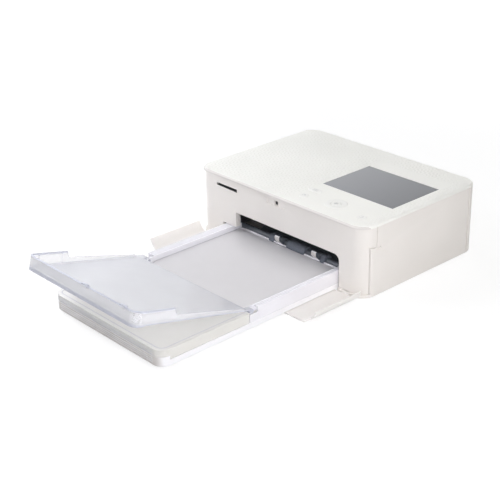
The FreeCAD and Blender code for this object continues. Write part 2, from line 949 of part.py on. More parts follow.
def top_cover():
    plate = slab(0, s.seam_z, s.body_h, s.top_round)
    bottoms = [rod("z", (s.key_board_z + s.board_t, s.seam_z), place, s.post_r)
               for place in key_post_places()]
    bottoms += [rod("z", (s.reader_top + s.board_t, s.seam_z), place, s.post_r)
                for place in reader_post_places()]
    window = window_box(s.static_gap, s.body_h - s.window_sink - s.window_t, s.body_h + s.overrun)
    through = window_box(-s.window_ledge, s.seam_z - s.overrun, s.body_h)
    pin = rod("z", (s.seam_z - s.overrun, s.ink_door_top + s.ink_pin_h + s.seam_gap), ink_axis(),
              s.ink_pin_r + s.spin_fit)
    return cut(fuse(plate, *bottoms), window, through, pin, *key_cutters())


def window_box(grow, low, high):
    return box((s.screen_x - s.screen_w / 2 - grow, s.screen_x + s.screen_w / 2 + grow),
               (s.screen_y - s.screen_d / 2 - grow, s.screen_y + s.screen_d / 2 + grow),
               (low, high))


def pill(x, y, half, radius, span):
    """A flat key shape with round ends, along X."""
    return fuse(rod("z", span, (x - half, y), radius), rod("z", span, (x + half, y), radius),
                box((x - half, x + half), (y - radius, y + radius), span))


def key_post_places():
    left, right = s.key_board_left + s.post_inset, s.key_board_right - s.post_inset
    front, rear = -s.key_board_front + s.post_inset, key_board_rear - s.post_inset
    return (left, front), (right, front), (left, rear), (right, rear)


def reader_post_places():
    left = -s.card_x - s.reader_board_w / 2 + s.post_inset
    right = -s.card_x + s.reader_board_w / 2 - s.post_inset
    front = inner_face + s.seam_gap + s.post_inset
    rear = inner_face + s.seam_gap + s.reader_d - s.post_inset
    return (left, front), (right, front), (left, rear), (right, rear)


def ink_door():
    wall = ring(0, s.ink_door_t, s.ink_door_low, s.ink_door_top)
    side = box((0, beyond_x), (low_seam_y + s.seam_gap, s.ink_axis_y), (0, s.body_h))
    step = box((0, beyond_x), (-beyond_y, high_seam_y + s.seam_gap),
               (s.side_step_z - s.seam_gap, s.body_h))
    finger = box((half_w - s.ink_door_t / 2, beyond_x),
                 (-s.finger_y - s.finger_w, -s.finger_y),
                 (s.side_step_z - s.seam_gap - s.finger_h, s.side_step_z))
    panel = cut(common(wall, side), step, finger)
    barrel = rod("z", (s.ink_door_low, s.ink_door_top), ink_axis(), s.ink_axis_in)
    pins = rod("z", (s.ink_door_low - s.ink_pin_h, s.ink_door_top + s.ink_pin_h), ink_axis(),
               s.ink_pin_r)
    return fuse(panel, barrel, pins)


def front_door():
    """The door lies flat. Its two ends curl up, and round the front corners when it's shut."""
    free_y = -half_d - s.door_free
    start_y = -half_d - s.door_start
    profiles = []
    for inset in (0, s.door_t):
        low = s.door_low + inset
        half, high = half_w - inset, s.door_low + 2 * s.door_curl
        profiles.append(outline("xz", ((-half, low), (half, low), (half, high), (-half, high)),
                                (free_y - inset, start_y + inset),
                                [((0, 1), s.door_curl - inset)]))
    shell = cut(profiles[0], profiles[1],
                box((-beyond_x, beyond_x), (free_y - s.overrun, start_y + s.overrun),
                    (s.door_low + s.door_wall, s.body_h)))
    notch_y = free_y + s.door_notch
    upright = (-s.overrun, s.body_h)
    notch = box((s.tongue_w, beyond_x), (free_y - s.overrun, notch_y), upright)
    round_at = (s.tongue_w - s.tongue_round, free_y + s.tongue_round)
    corner = cut(box((round_at[0], beyond_x), (free_y - s.overrun, round_at[1]), upright),
                 rod("z", upright, round_at, s.tongue_round))
    axis_y = -half_d + s.door_axis_z - s.door_low
    lugs = []
    for side in (-1, 1):
        ends = sorted((side * s.lug_in, side * s.lug_out), key=number_of)
        pins = sorted((side * (s.lug_in - s.ear_t), side * (s.lug_out + s.ear_t)), key=number_of)
        lugs.append(rod("x", ends, (axis_y, s.door_axis_z), s.door_barrel_r))
        lugs.append(rod("x", pins, (axis_y, s.door_axis_z), s.door_pin_r))
        lugs.append(box(ends, (start_y - s.door_t, axis_y), (s.door_low, s.door_low + s.door_t)))
    hook_y = free_y + s.hook_back
    hook = box((-s.latch_x - s.hook_w / 2, -s.latch_x + s.hook_w / 2), (hook_y, hook_y + s.hook_d),
               (s.door_low, s.door_low + s.door_t + s.hook_h))
    return fuse(cut(shell, notch, corner), hook, *lugs)


# Top controls


def screen_window():
    high = s.body_h - s.window_sink
    return window_box(0, high - s.window_t, high)


def lcd_module():
    high = s.seam_z - s.static_gap
    return window_box(s.lcd_border, high - s.lcd_t, high)


def key_cap(shape, stem_place):
    """A key: cap, flange that stops it under the top plate and a stem over its dome."""
    flange_top = s.seam_z - s.key_play
    flange_low = flange_top - s.key_flange_t
    dome_top = s.key_board_z + s.board_t + s.dome_t
    cap = shape(0, (flange_low, s.body_h + s.key_proud))
    flange = shape(s.key_flange, (flange_low, flange_top))
    stem = rod("z", (dome_top + s.key_travel + s.key_play, flange_top), stem_place, s.stem_r)
    return fuse(cap, flange, stem)


def round_key(x, y, radius):
    return key_cap(lambda grow, span: rod("z", span, (x, y), radius + grow), (x, y))


def menu_key():
    place = (s.menu_x, -s.menu_y)
    return key_cap(lambda grow, span: pill(place[0], place[1], s.pill_half, s.pill_r + grow, span),
                   place)


def print_key():
    """The middle key. Its flange sits under the ring key, which holds it down."""
    low = s.key_board_z + s.board_t + s.dome_t + s.key_travel + s.key_play
    place = (s.pad_x, -s.pad_y)
    return fuse(rod("z", (low, s.body_h + s.key_proud), place, s.print_r),
                rod("z", (low, low + s.print_flange_t), place, s.print_flange_r))


def pad_ring(low, high, inner, outer):
    place = (s.pad_x, -s.pad_y)
    return cut(rod("z", (low, high), place, outer),
               rod("z", (low - s.overrun, high + s.overrun), place, inner))


def direction_pad():
    flange_top = s.seam_z - s.key_play
    flange_low = flange_top - s.key_flange_t
    dome_top = s.key_board_z + s.board_t + s.dome_t
    stems = [rod("z", (dome_top + s.key_travel + s.key_play, flange_top), place, s.stem_r)
             for place in pad_dome_places()]
    return fuse(pad_ring(flange_low, s.body_h + s.key_proud, s.pad_in, s.pad_out),
                pad_ring(flange_low, flange_top, s.pad_in, s.pad_out + s.key_flange),
                *stems)


def pad_dome_places():
    reach = (s.pad_in + s.pad_out) / 2
    x, y = s.pad_x, -s.pad_y
    return (x - reach, y), (x + reach, y), (x, y - reach), (x, y + reach)


def key_board():
    low, high = s.key_board_z, s.key_board_z + s.board_t
    board = box((s.key_board_left, s.key_board_right), (-s.key_board_front, key_board_rear),
                (low, high))
    places = ((s.menu_x, -s.menu_y), (s.power_x, -s.power_y), (s.back_x, -s.back_y),
              (s.pad_x, -s.pad_y), *pad_dome_places())
    domes = [rod("z", (high, high + s.dome_t), place, s.dome_r) for place in places]
    return fuse(board, *domes)


# Boards and sockets


def main_board():
    low, high = s.main_z, s.main_z + s.board_t
    board = box((-s.main_left, s.main_right), (s.main_front, s.main_rear), (low, high))
    holes = [rod("z", (0, high + s.overrun), place, s.screw_r + s.spin_fit)
             for place in screw_places()]
    board = cut(board, *holes)
    middle = (s.main_front + s.main_rear) / 2
    chips = [box((-s.chip_w / 2, s.chip_w / 2), (middle - s.chip_w / 2, middle + s.chip_w / 2),
                 (high, high + s.chip_t))]
    for column in (-2, 2):
        x = s.chip_w * column / 2
        ends = sorted((x, x + s.small_chip_w), key=number_of)
        chips.append(box(ends, (middle - s.small_chip_w / 2, middle + s.small_chip_w / 2),
                         (high, high + s.chip_t)))
    caps = [rod("z", (high, high + s.cap_h), (s.dc_x - s.chip_w - s.cap_r * turn, s.main_front
                                              + s.cap_r * 2), s.cap_r)
            for turn in (0, 3)]
    plug = box((s.cable_x - s.cable_w / 2, s.cable_x + s.cable_w / 2 - s.static_gap),
               (s.cable_y - s.plug_t / 2, s.cable_y + s.plug_t / 2), (high, high + s.plug_t))
    return fuse(board, *chips, *caps, plug)


def board_screws():
    high = s.main_z + s.board_t
    screws = []
    for place in screw_places():
        screws.append(fuse(rod("z", (high, high + s.screw_head_t), place, s.screw_head_r),
                           rod("z", (high - s.board_t - s.screw_l, high), place, s.screw_r)))
    return group(*screws)


def usb_socket():
    low = s.main_z + s.board_t
    rear = half_d - s.wall - s.static_gap
    outer = box((s.usb_x - s.usb_w / 2, s.usb_x + s.usb_w / 2), (rear - s.usb_d, rear),
                (low, low + s.usb_h))
    inner = box((s.usb_x - s.usb_w / 2 + s.usb_wall, s.usb_x + s.usb_w / 2 - s.usb_wall),
                (rear - s.usb_d + s.usb_wall, rear + s.overrun),
                (low + s.usb_wall, low + s.usb_h - s.usb_wall))
    tongue = box((s.usb_x - s.usb_w / 4, s.usb_x + s.usb_w / 4),
                 (rear - s.usb_d + s.usb_wall, rear - s.usb_wall * 2),
                 (low + s.usb_h / 2 - s.usb_wall, low + s.usb_h / 2 + s.usb_wall))
    return fuse(cut(outer, inner), tongue)


def dc_socket():
    low = s.main_z + s.board_t
    rear = half_d - s.wall - s.static_gap
    centre = (s.dc_x, low + s.dc_h / 2)
    block = box((s.dc_x - s.dc_w / 2, s.dc_x + s.dc_w / 2), (rear - s.dc_d, rear),
                (low, low + s.dc_h))
    bore = rod("y", (rear - s.dc_bore_d, rear + s.overrun), centre, s.dc_bore_r)
    pin = rod("y", (rear - s.dc_bore_d, rear - s.dc_pin_r), centre, s.dc_pin_r)
    return fuse(cut(block, bore), pin)


def card_reader():
    front = inner_face + s.seam_gap
    rear = front + s.reader_d
    left, right = -s.card_x - s.reader_w / 2, -s.card_x + s.reader_w / 2
    shell = box((left, right), (front, rear), (s.reader_low, s.reader_top))
    mouth = box((-s.card_x - s.card_w / 2, -s.card_x + s.card_w / 2),
                (front - s.overrun, rear - s.reader_wall * 2),
                (s.card_z - s.card_h / 2, s.card_z + s.card_h / 2))
    board = box((-s.card_x - s.reader_board_w / 2, -s.card_x + s.reader_board_w / 2),
                (front, rear), (s.reader_top, s.reader_top + s.board_t))
    return fuse(cut(shell, mouth), board)


def flat_cable():
    """A flat cable from the back of the screen down to the main board."""
    start = s.screen_y + s.screen_d / 2 + s.lcd_border
    high = s.cable_z + s.cable_t
    low = s.main_z + s.board_t + s.plug_t
    outer, inner = s.cable_y + s.cable_t / 2, s.cable_y - s.cable_t / 2
    return outline("yz", ((start, s.cable_z), (inner, s.cable_z), (inner, low), (outer, low),
                          (outer, high), (start, high)),
                   (s.cable_x - s.cable_w / 2, s.cable_x + s.cable_w / 2 - s.static_gap))


# Chassis


def chassis_left():
    middle = -s.left_x + s.plate_t / 2
    plate = box((-s.left_x, plate_left_in), (-s.plate_front, s.plate_rear),
                (s.base_top, s.plate_top))
    fit = s.spin_fit
    return cut(plate,
               hole_x(pickup_at, s.pickup_shaft_r + fit, middle),
               hole_x(exit_at, s.exit_shaft_r + fit, middle),
               hole_x(takeup_at, s.hub_r + fit, middle),
               hole_x(capstan_at, s.capstan_end_r + fit, middle),
               hole_x(pinch_at, s.pinch_shaft_r + fit, middle),
               hole_x(platen_at, s.platen_shaft_r + fit, middle),
               hole_x(pivot_at, s.pivot_r + fit, middle),
               hole_x(motor_at, s.motor_boss_r, middle))


def chassis_right():
    middle = s.right_x - s.plate_t / 2
    plate = box((plate_right_in, s.right_x), (-s.plate_front, s.plate_rear),
                (s.base_top, s.plate_top))
    fit = s.spin_fit
    passage = box((middle - s.overrun, middle + s.overrun), (-s.ink_pass_half, s.ink_pass_half),
                  (s.ink_pass_low, s.ink_pass_high))
    return cut(plate,
               passage,
               hole_x(takeup_at, s.tube_r + s.opening_gap, middle),
               hole_x(supply_at, s.tube_r + s.opening_gap, middle),
               hole_x(pickup_at, s.pickup_shaft_r + fit, middle),
               hole_x(exit_at, s.exit_shaft_r + fit, middle),
               hole_x(capstan_at, s.capstan_end_r + fit, middle),
               hole_x(pinch_at, s.pinch_shaft_r + fit, middle),
               hole_x(platen_at, s.platen_shaft_r + fit, middle))


def head_bridge():
    """The cross plate over the head, with a tab down to the head pivot's right end."""
    low = s.plate_top - s.plate_t
    beam = box((plate_left_in, plate_right_in), (bridge_y - s.bridge_d, bridge_y),
               (low, s.plate_top))
    tab = box((s.tab_x - s.plate_t, s.tab_x),
              (s.pivot_y - s.tab_w / 2, s.pivot_y + s.tab_w / 2), (s.tab_low, s.plate_top))
    return cut(fuse(beam, tab), hole_x(pivot_at, s.pivot_r + s.spin_fit, s.tab_x - s.plate_t / 2))


def feed_guide():
    """The ramp that the paper climbs from the cassette to the platen, on three legs."""
    start_y, end_y = -s.notch_rear + s.seam_gap, platen_at[0] - s.platen_r - s.nip_gap * 4
    start_z = s.stack_top - s.guide_t / 2
    end_z = path_z - s.guide_t * 3
    knee_y, knee_z = exit_at[0] + s.exit_r, exit_at[1] - s.exit_r - s.guide_t * 3
    ramp = outline("yz", ((start_y, start_z), (knee_y, knee_z), (end_y, end_z),
                          (end_y, end_z - s.guide_t), (knee_y, knee_z - s.guide_t),
                          (start_y, start_z - s.guide_t)), (roll_left, roll_right))
    legs = []
    for x in (roll_left, (roll_left + roll_right) / 2, roll_right - s.guide_t):
        legs.append(outline("yz", ((start_y, s.base_top), (start_y, start_z - s.guide_t / 2),
                                   (knee_y, knee_z - s.guide_t / 2),
                                   (end_y, end_z - s.guide_t / 2), (end_y, s.base_top)),
                            (x, x + s.guide_t)))
    return fuse(ramp, *legs)


def return_guide():
    """The shelf that carries the print forward from the platen to the exit roller."""
    high = path_z - s.guide_t
    front = exit_at[0] + s.exit_r + s.nip_gap * 2
    rear = platen_at[0] - s.platen_r - s.nip_gap * 2
    return box((plate_left_in, plate_right_in), (front, rear), (high - s.guide_t, high))


def rear_guide():
    high = path_z - s.nip_gap
    span = (high - s.guide_t, high)
    gap = s.nip_gap * 2
    near = box((plate_left_in, plate_right_in),
               (platen_at[0] + s.platen_r + gap, capstan_at[0] - s.capstan_r - gap), span)
    far = box((roll_left, plate_right_in),
              (capstan_at[0] + s.capstan_r + gap, half_d - s.wall - s.guide_rear_gap), span)
    cable = box((s.cable_x - s.cable_w / 2 - s.move_gap, s.cable_x + s.cable_w / 2 + s.move_gap),
                (s.cable_y - s.cable_t - s.move_gap, half_d),
                (high - s.guide_t - s.overrun, high + s.overrun))
    return group(near, cut(far, cable))


def gear_studs():
    """Studs for the idler gears on the left plate, and the supply spool's pin inside it."""
    studs = []
    for place in (ribbon_at, feed_at, idler_at):
        studs.append(fuse(rod("x", (-s.gear_end, -s.left_x), place, s.stud_r),
                          rod("x", (-s.gear_end - s.clip_t, -s.gear_end), place, s.clip_r),
                          rod("x", (-s.inner_layer + s.gear_t + s.seam_gap, -s.left_x), place,
                              s.clip_r)))
    studs.append(rod("x", (plate_left_in, -s.ink_left + s.hub_reach), supply_at, s.hub_r))
    lever = (s.lever_y, s.lever_z)
    studs.append(rod("x", (s.right_x, s.lever_x + s.lever_t), lever, s.stud_r))
    return group(*studs)


# Rollers and gears


def shaft_ends():
    return (-s.left_x - s.shaft_out, s.right_x + s.shaft_out)


def geared_shaft(radius, place, teeth, phase):
    """A moulded shaft with its gear at the left end."""
    shaft = rod("x", (-s.gear_end, s.right_x + s.shaft_out), place, radius)
    return fuse(shaft, gear(teeth, -s.outer_layer, place, phase))


def pickup_tyres():
    spans = ((s.mid_roll_left, s.mid_roll_right), (-s.side_roll_left, -s.side_roll_mid),
             (s.side_roll_in, s.side_roll_out))
    return group(*[cut(rod("x", span, pickup_at, s.pickup_r),
                       rod("x", (span[0] - s.overrun, span[1] + s.overrun), pickup_at,
                           s.pickup_shaft_r)) for span in spans])


def exit_tyres():
    width = s.mid_roll_right - s.mid_roll_left
    middle = (roll_left + roll_right) / 2
    spans = [(middle + width * (turn - 0.5) * 1.5, middle + width * (turn - 0.5) * 1.5 + width / 2)
             for turn in (-1, 0.3, 1.6)]
    return group(*[cut(rod("x", span, exit_at, s.exit_r),
                       rod("x", (span[0] - s.overrun, span[1] + s.overrun), exit_at,
                           s.exit_shaft_r)) for span in spans])


def platen_roller():
    return fuse(rod("x", shaft_ends(), platen_at, s.platen_shaft_r),
                rod("x", (roll_left, roll_right), platen_at, s.platen_r))


def capstan():
    return fuse(rod("x", (-s.gear_end, s.right_x + s.shaft_out), capstan_at, s.capstan_end_r),
                rod("x", (roll_left, roll_right), capstan_at, s.capstan_r))


def pinch_roller():
    return fuse(rod("x", shaft_ends(), pinch_at, s.pinch_shaft_r),
                rod("x", (roll_left, roll_right), pinch_at, s.pinch_r))


def plain_idler(teeth, place, phase):
    """An idler in the outer layer, with a hub that reaches in to the stud's shoulder."""
    hub = rod("x", (-s.outer_layer + s.gear_t, -s.inner_layer + s.gear_t), place, s.clip_r)
    bore = rod("x", (-s.gear_end, -s.left_x), place, s.stud_r + s.spin_fit)
    return cut(fuse(gear(teeth, -s.outer_layer, place, phase), hub), bore)


def drive_idler():
    small = gear(s.idler_small, -s.outer_layer, idler_at, idler_phase)
    large = gear(s.idler_large, -s.inner_layer, idler_at, idler_phase)
    hub = rod("x", (-s.outer_layer, -s.inner_layer + s.gear_t), idler_at, s.clip_r)
    bore = rod("x", (-s.gear_end, -s.left_x), idler_at, s.stud_r + s.spin_fit)
    return cut(fuse(small, large, hub), bore)


def motor():
    can = rod("x", (plate_left_in, plate_left_in + s.motor_l), motor_at, s.motor_r)
    bore = rod("x", (plate_left_in - s.overrun, plate_left_in + s.motor_shaft_in + s.seam_gap),
               motor_at, s.motor_shaft_r + s.spin_fit)
    return cut(can, bore)


def motor_pinion():
    shaft = rod("x", (-s.inner_layer, plate_left_in + s.motor_shaft_in), motor_at,
                s.motor_shaft_r)
    return fuse(gear(s.pinion_teeth, -s.inner_layer, motor_at, motor_phase), shaft)


def paper_fingers():
    """Two white fingers that hang on the pickup shaft and press the print from the front."""
    y, z = pickup_at
    hub, tip = s.finger_hub_r, s.pickup_r * 1.6
    solids = []
    for left in (-s.left_finger, s.right_finger):
        span = (left, left + s.finger_t)
        collar = rod("x", span, pickup_at, hub)
        claw = outline("yz", ((y - hub / 2, z + hub / 3), (y - hub, z + hub * 0.7),
                              (y - tip * 0.85, z + tip * 1.05), (y - tip, z + tip * 0.95),
                              (y - tip, z + tip * 0.55), (y - hub * 0.95, z)), span)
        bore = rod("x", (left - s.overrun, left + s.finger_t + s.overrun), pickup_at,
                   s.pickup_shaft_r + s.spin_fit)
        solids.append(cut(fuse(collar, claw), bore))
    return group(*solids)


# Ink cassette and print head


def ink_shell():
    ends = (-s.ink_left, s.ink_right)
    inside = (-s.ink_left - s.overrun, s.ink_right - s.ink_end_t)
    through = (-s.ink_left - s.overrun, s.ink_right - s.tube_wall / 2)
    tubes = [rod("x", ends, place, s.tube_r) for place in (takeup_at, supply_at)]
    handle = box((s.ink_right - s.ink_end_t, s.ink_right), (takeup_at[0], supply_at[0]),
                 (s.handle_low, s.handle_high))
    bores = [rod("x", inside, place, s.tube_r - s.tube_wall) for place in (takeup_at, supply_at)]
    bearings = [rod("x", through, place, s.spool_pin_r + s.spin_fit)
                for place in (takeup_at, supply_at)]
    slot_x = (roll_left - s.slot_gap, roll_right + s.slot_gap)
    front = box(slot_x, (takeup_at[0] + s.slot_gap, takeup_at[0] + s.slot_gap + s.slot_w),
                (takeup_at[1] - s.tube_r - s.overrun, takeup_at[1] - s.slot_low))
    rear = box(slot_x, (supply_at[0] - s.slot_gap - s.slot_w, supply_at[0] - s.slot_gap),
               (supply_at[1] - s.tube_r - s.overrun, supply_at[1] - s.slot_low))
    return cut(fuse(*tubes, handle), *bores, *bearings, front, rear)


def spool(place, roll_r, bore):
    left, right = -s.ink_left + s.seam_gap * 5, s.ink_right - s.ink_end_t - s.seam_gap
    film = (roll_left + s.film_over, roll_right - s.film_over)
    return cut(fuse(rod("x", (left, right), place, s.core_r),
                    rod("x", (right, right + s.spool_pin_l), place, s.spool_pin_r),
                    rod("x", film, place, roll_r)),
               rod("x", (left - s.overrun, -s.ink_left + s.hub_reach + s.seam_gap), place, bore))


def takeup_gear():
    hub = rod("x", (-s.gear_end, -s.ink_left + s.hub_reach), takeup_at, s.hub_r)
    return fuse(hub, gear(s.takeup_teeth, -s.outer_layer, takeup_at, takeup_phase))


def ink_film():
    """The film from the take-up roll, under the head and up to the supply roll."""
    gap = s.nip_gap
    front = (takeup_at[0] + s.slot_gap * 2, takeup_at[1] - s.takeup_roll_r - gap)
    rear = (supply_at[0] - s.slot_gap * 2, supply_at[1] - s.supply_roll_r - gap)
    near, far = s.head_y - s.film_half, s.head_y + s.film_half
    t = s.film_t
    return outline("yz", (front, (near, film_z), (far, film_z), rear,
                          (rear[0], rear[1] - t), (far, film_z - t), (near, film_z - t),
                          (front[0], front[1] - t)),
                   (roll_left + s.film_over, roll_right - s.film_over))


def head_low():
    return film_z + s.head_lift


def thermal_head():
    low = head_low() + s.bead_h
    return fuse(box((roll_left, roll_right), (s.head_y - s.head_half, s.head_y + s.head_half),
                    (low, low + s.head_t)),
                box((roll_left + s.film_over, roll_right - s.film_over),
                    (s.head_y - s.bead_half, s.head_y + s.bead_half), (head_low(), low)))


def head_carrier():
    """The finned heat sink with a cheek at each end that turns on the pivot rod."""
    low = head_low() + s.bead_h + s.head_t
    body_top = low + s.sink_body
    half, middle = s.sink_half, s.head_y
    solids = [box((roll_left, roll_right), (middle - half, middle + half), (low, body_top))]
    count = int(number_of(s.fin_count))
    step = (half * 2 - s.fin_t) / (count - 1)
    for index in range(count):
        start = middle - half + step * index
        solids.append(box((roll_left, roll_right), (start, start + s.fin_t),
                          (low, s.sink_top)))
    for left in (roll_left - s.cheek_t, roll_right):
        span = (left, left + s.cheek_t)
        solids.append(outline("yz", ((middle - half, low), (s.pivot_y, low),
                                     (s.pivot_y, s.pivot_z + s.cheek_r),
                                     (middle, s.sink_top), (middle - half, s.sink_top)), span))
        solids.append(rod("x", span, pivot_at, s.cheek_r))
    bore = rod("x", (-s.left_x, s.right_x), pivot_at, s.pivot_r + s.spin_fit)
    return cut(fuse(*solids), bore)


def head_pivot():
    return rod("x", (-s.left_x + s.static_gap, s.tab_x + s.plate_t), pivot_at, s.pivot_r)


def head_springs():
    """Two torsion springs round the pivot rod, outside the cheeks."""
    springs = []
    starts = (roll_left - s.cheek_t - s.head_side_gap - s.spring_l,
              roll_left - s.cheek_t - s.head_side_gap * 2 - s.spring_l * 2)
    for start in starts:
        path = doc.addObject("Part::Helix", "Coil")
        bind(path, "Pitch", s.spring_pitch)
        bind(path, "Height", s.spring_l)
        bind(path, "Radius", s.spring_r)
        path.Placement = Placement(Vector(), TURNS["x"])
        bind(path, "Placement.Base.x", start)
        bind(path, "Placement.Base.y", pivot_at[0])
        bind(path, "Placement.Base.z", pivot_at[1])
        wire = doc.addObject("Part::Circle", "Wire")
        bind(wire, "Radius", s.spring_wire_r)
        wire.Placement = Placement(Vector(), Rotation(Vector(1, 0, 0), 90))
        bind(wire, "Placement.Base.x", start)
        bind(wire, "Placement.Base.y", pivot_at[0])
        bind(wire, "Placement.Base.z", pivot_at[1] - s.spring_r)
        sweep = doc.addObject("Part::Sweep", "Spring")
        sweep.Sections = [wire]
        sweep.Spine = (path, ["Edge1"])
        sweep.Solid = True
        sweep.Frenet = True
        springs.append(sweep)
    return group(*springs)


def release_lever():
    """The lever whose hook keeps the ink cassette in, on its stud at the right."""
    span = (s.lever_x, s.lever_x + s.lever_t)
    y, z, half = s.lever_y, s.lever_z, s.lever_arm_w / 2
    hook_y = supply_at[0] + s.lever_hook
    arm = outline("yz", ((y - half, z), (y + half, z), (y + half, s.lever_top),
                         (hook_y, s.lever_top), (hook_y, s.lever_top - s.lever_hook_h),
                         (y - half, s.lever_top - s.lever_hook_h)), span)
    hub = rod("x", span, (y, z), s.lever_hub_r)
    bore = rod("x", (s.lever_x - s.overrun, s.lever_x + s.lever_t + s.overrun), (y, z),
               s.stud_r + s.spin_fit)
    return cut(fuse(arm, hub), bore)


# Paper cassette


def tray_slab(inset, low, high, rear=None):
    """The cassette's outline, drawn in by inset, with round front corners."""
    left, right = -s.tray_left + inset, s.tray_right - inset
    front = -s.tray_front + inset
    back = -s.tray_rear - inset if rear is None else rear
    return outline("xy", ((left, front), (right, front), (right, back), (left, back)),
                   (low, high), [((0, 1), s.tray_round - inset)])


def cassette_base():
    floor_top = s.tray_low + s.tray_floor_t
    outer = tray_slab(0, s.tray_low, s.tray_front_top)
    inner = tray_slab(s.tray_wall, floor_top, s.tray_front_top + s.overrun)
    low_side = box((-beyond_x, beyond_x), (-s.tray_front + s.tray_round, 0),
                   (s.tray_wall_top, s.body_h))
    tray = cut(outer, inner, low_side)
    groove_y = -half_d - s.door_free + s.groove_lap
    sole = tray_slab(s.sole_inset, s.sole_low, s.tray_low, -half_d - s.door_free - s.sole_gap)
    channel = box((-s.channel_half, s.channel_half), (groove_y, -s.tray_rear),
                  (s.tray_low, s.channel_top))
    divider = box((-s.divider_x, -s.divider_x + s.divider_t), (-s.rib_front, -s.tray_rear),
                  (s.tray_low, s.tray_front_top))
    ribs = []
    for share, rear in ((0.08, s.tray_rear), (0.25, s.tray_rear),
                        (0.6, s.lift_front + s.overrun), (0.95, s.tray_rear)):
        x = paper_left + paper_w * share
        ribs.append(box((x, x + s.rib_t), (-s.rib_front, -rear), (s.tray_low, s.tray_wall_top)))
    pins = [box((left, left + s.rib_t), (-s.lift_front - s.lift_pin_r * 3,
                                         -s.lift_front + s.lift_pin_r * 3),
                (s.tray_low, s.lift_low + s.lift_t))
            for left in (s.lift_left - s.seam_gap - s.rib_t, s.lift_right + s.seam_gap)]
    bore = rod("x", (s.lift_left - s.rib_t * 2, s.lift_right + s.rib_t * 2), lift_axis(),
               s.lift_pin_r + s.spin_fit)
    groove = box((-s.groove_half, s.groove_half), (groove_y + s.rib_t, s.overrun),
                 (-s.overrun, s.groove_top))
    return cut(fuse(tray, sole, channel, divider, *ribs, *pins), groove, bore)


def lift_axis():
    return -s.lift_front, s.lift_low + s.lift_t / 2 - s.seam_gap


def lift_plate():
    plate = box((s.lift_left, s.lift_right), (-s.lift_front - s.lift_pin_r, -s.lift_rear),
                (s.lift_low, s.lift_low + s.lift_t))
    pins = rod("x", (s.lift_left - s.rib_t, s.lift_right + s.rib_t), lift_axis(), s.lift_pin_r)
    return fuse(plate, pins)


def lift_spring():
    """A bowed leaf between the tray floor and the lift plate."""
    low = s.tray_low + s.tray_floor_t
    high = s.lift_low - s.static_gap
    middle = -(s.lift_front + s.lift_rear) / 2
    half = (s.lift_front - s.lift_rear) / 3
    t = s.spring_strip_t
    x = (s.lift_left + s.lift_right) / 2
    return outline("yz", ((middle - half, low), (middle - half / 2, low), (middle, high - t),
                          (middle + half / 2, low), (middle + half, low),
                          (middle + half, low + t), (middle + half / 2 - t, low + t),
                          (middle, high), (middle - half / 2 + t, low + t),
                          (middle - half, low + t)),
                   (x, x + s.spring_strip_w))


def paper_stack():
    return box((paper_left, s.paper_right), (-s.stack_front, -s.stack_front + s.stack_length),
               (s.tray_wall_top, s.stack_top))


def front_cover():
    outer = tray_slab(0, s.cover_low, s.front_cover_top, -s.front_cover_rear)
    inner = tray_slab(s.cover_t, 0, s.front_cover_top - s.front_cover_t, s.overrun)
    front_skirt = box((-beyond_x, beyond_x), (-s.tray_front - s.overrun,
                                              -s.tray_front + s.tray_round),
                      (0, s.tray_front_top + s.static_gap))
    return cut(outer, inner, front_skirt)


def rear_cover():
    t = s.cover_t
    left, right = -s.tray_left, s.tray_right
    well_left, well_right = -s.well_left, s.well_right
    under = s.ledge_top - t
    profile = outline("xz", (
        (left, s.cover_low), (left, s.ledge_top), (well_left, s.ledge_top),
        (well_left, s.well_floor), (well_right, s.well_floor), (well_right, s.ledge_top),
        (right, s.ledge_top), (right, s.cover_low), (right - t, s.cover_low),
        (right - t, under), (well_right + t, under), (well_right + t, s.well_floor - t),
        (well_left - t, s.well_floor - t), (well_left - t, under), (left + t, under),
        (left + t, s.cover_low)),
        (-s.rear_cover_front, -s.rear_cover_rear))
    gap = s.notch_gap
    notches = [box(ends, (-s.rear_cover_notch, 0), (0, s.well_floor + s.static_gap))
               for ends in ((-s.side_roll_left - gap, s.mid_roll_right + gap),
                            (s.right_finger - gap, s.side_roll_out + gap))]
    lug_y = (-s.rear_cover_front - s.overrun, -s.lug_cut_rear)
    cuts = [box(ends, lug_y, (s.lug_cut_low, s.body_h))
            for ends in ((left - s.overrun, well_left - t), (well_right + t, right + s.overrun))]
    bore = rod("x", (well_left - t * 2, well_right + t * 2), (-s.flap_y, s.flap_z),
               s.flap_pin_r + s.spin_fit)
    return cut(profile, *notches, *cuts, bore)


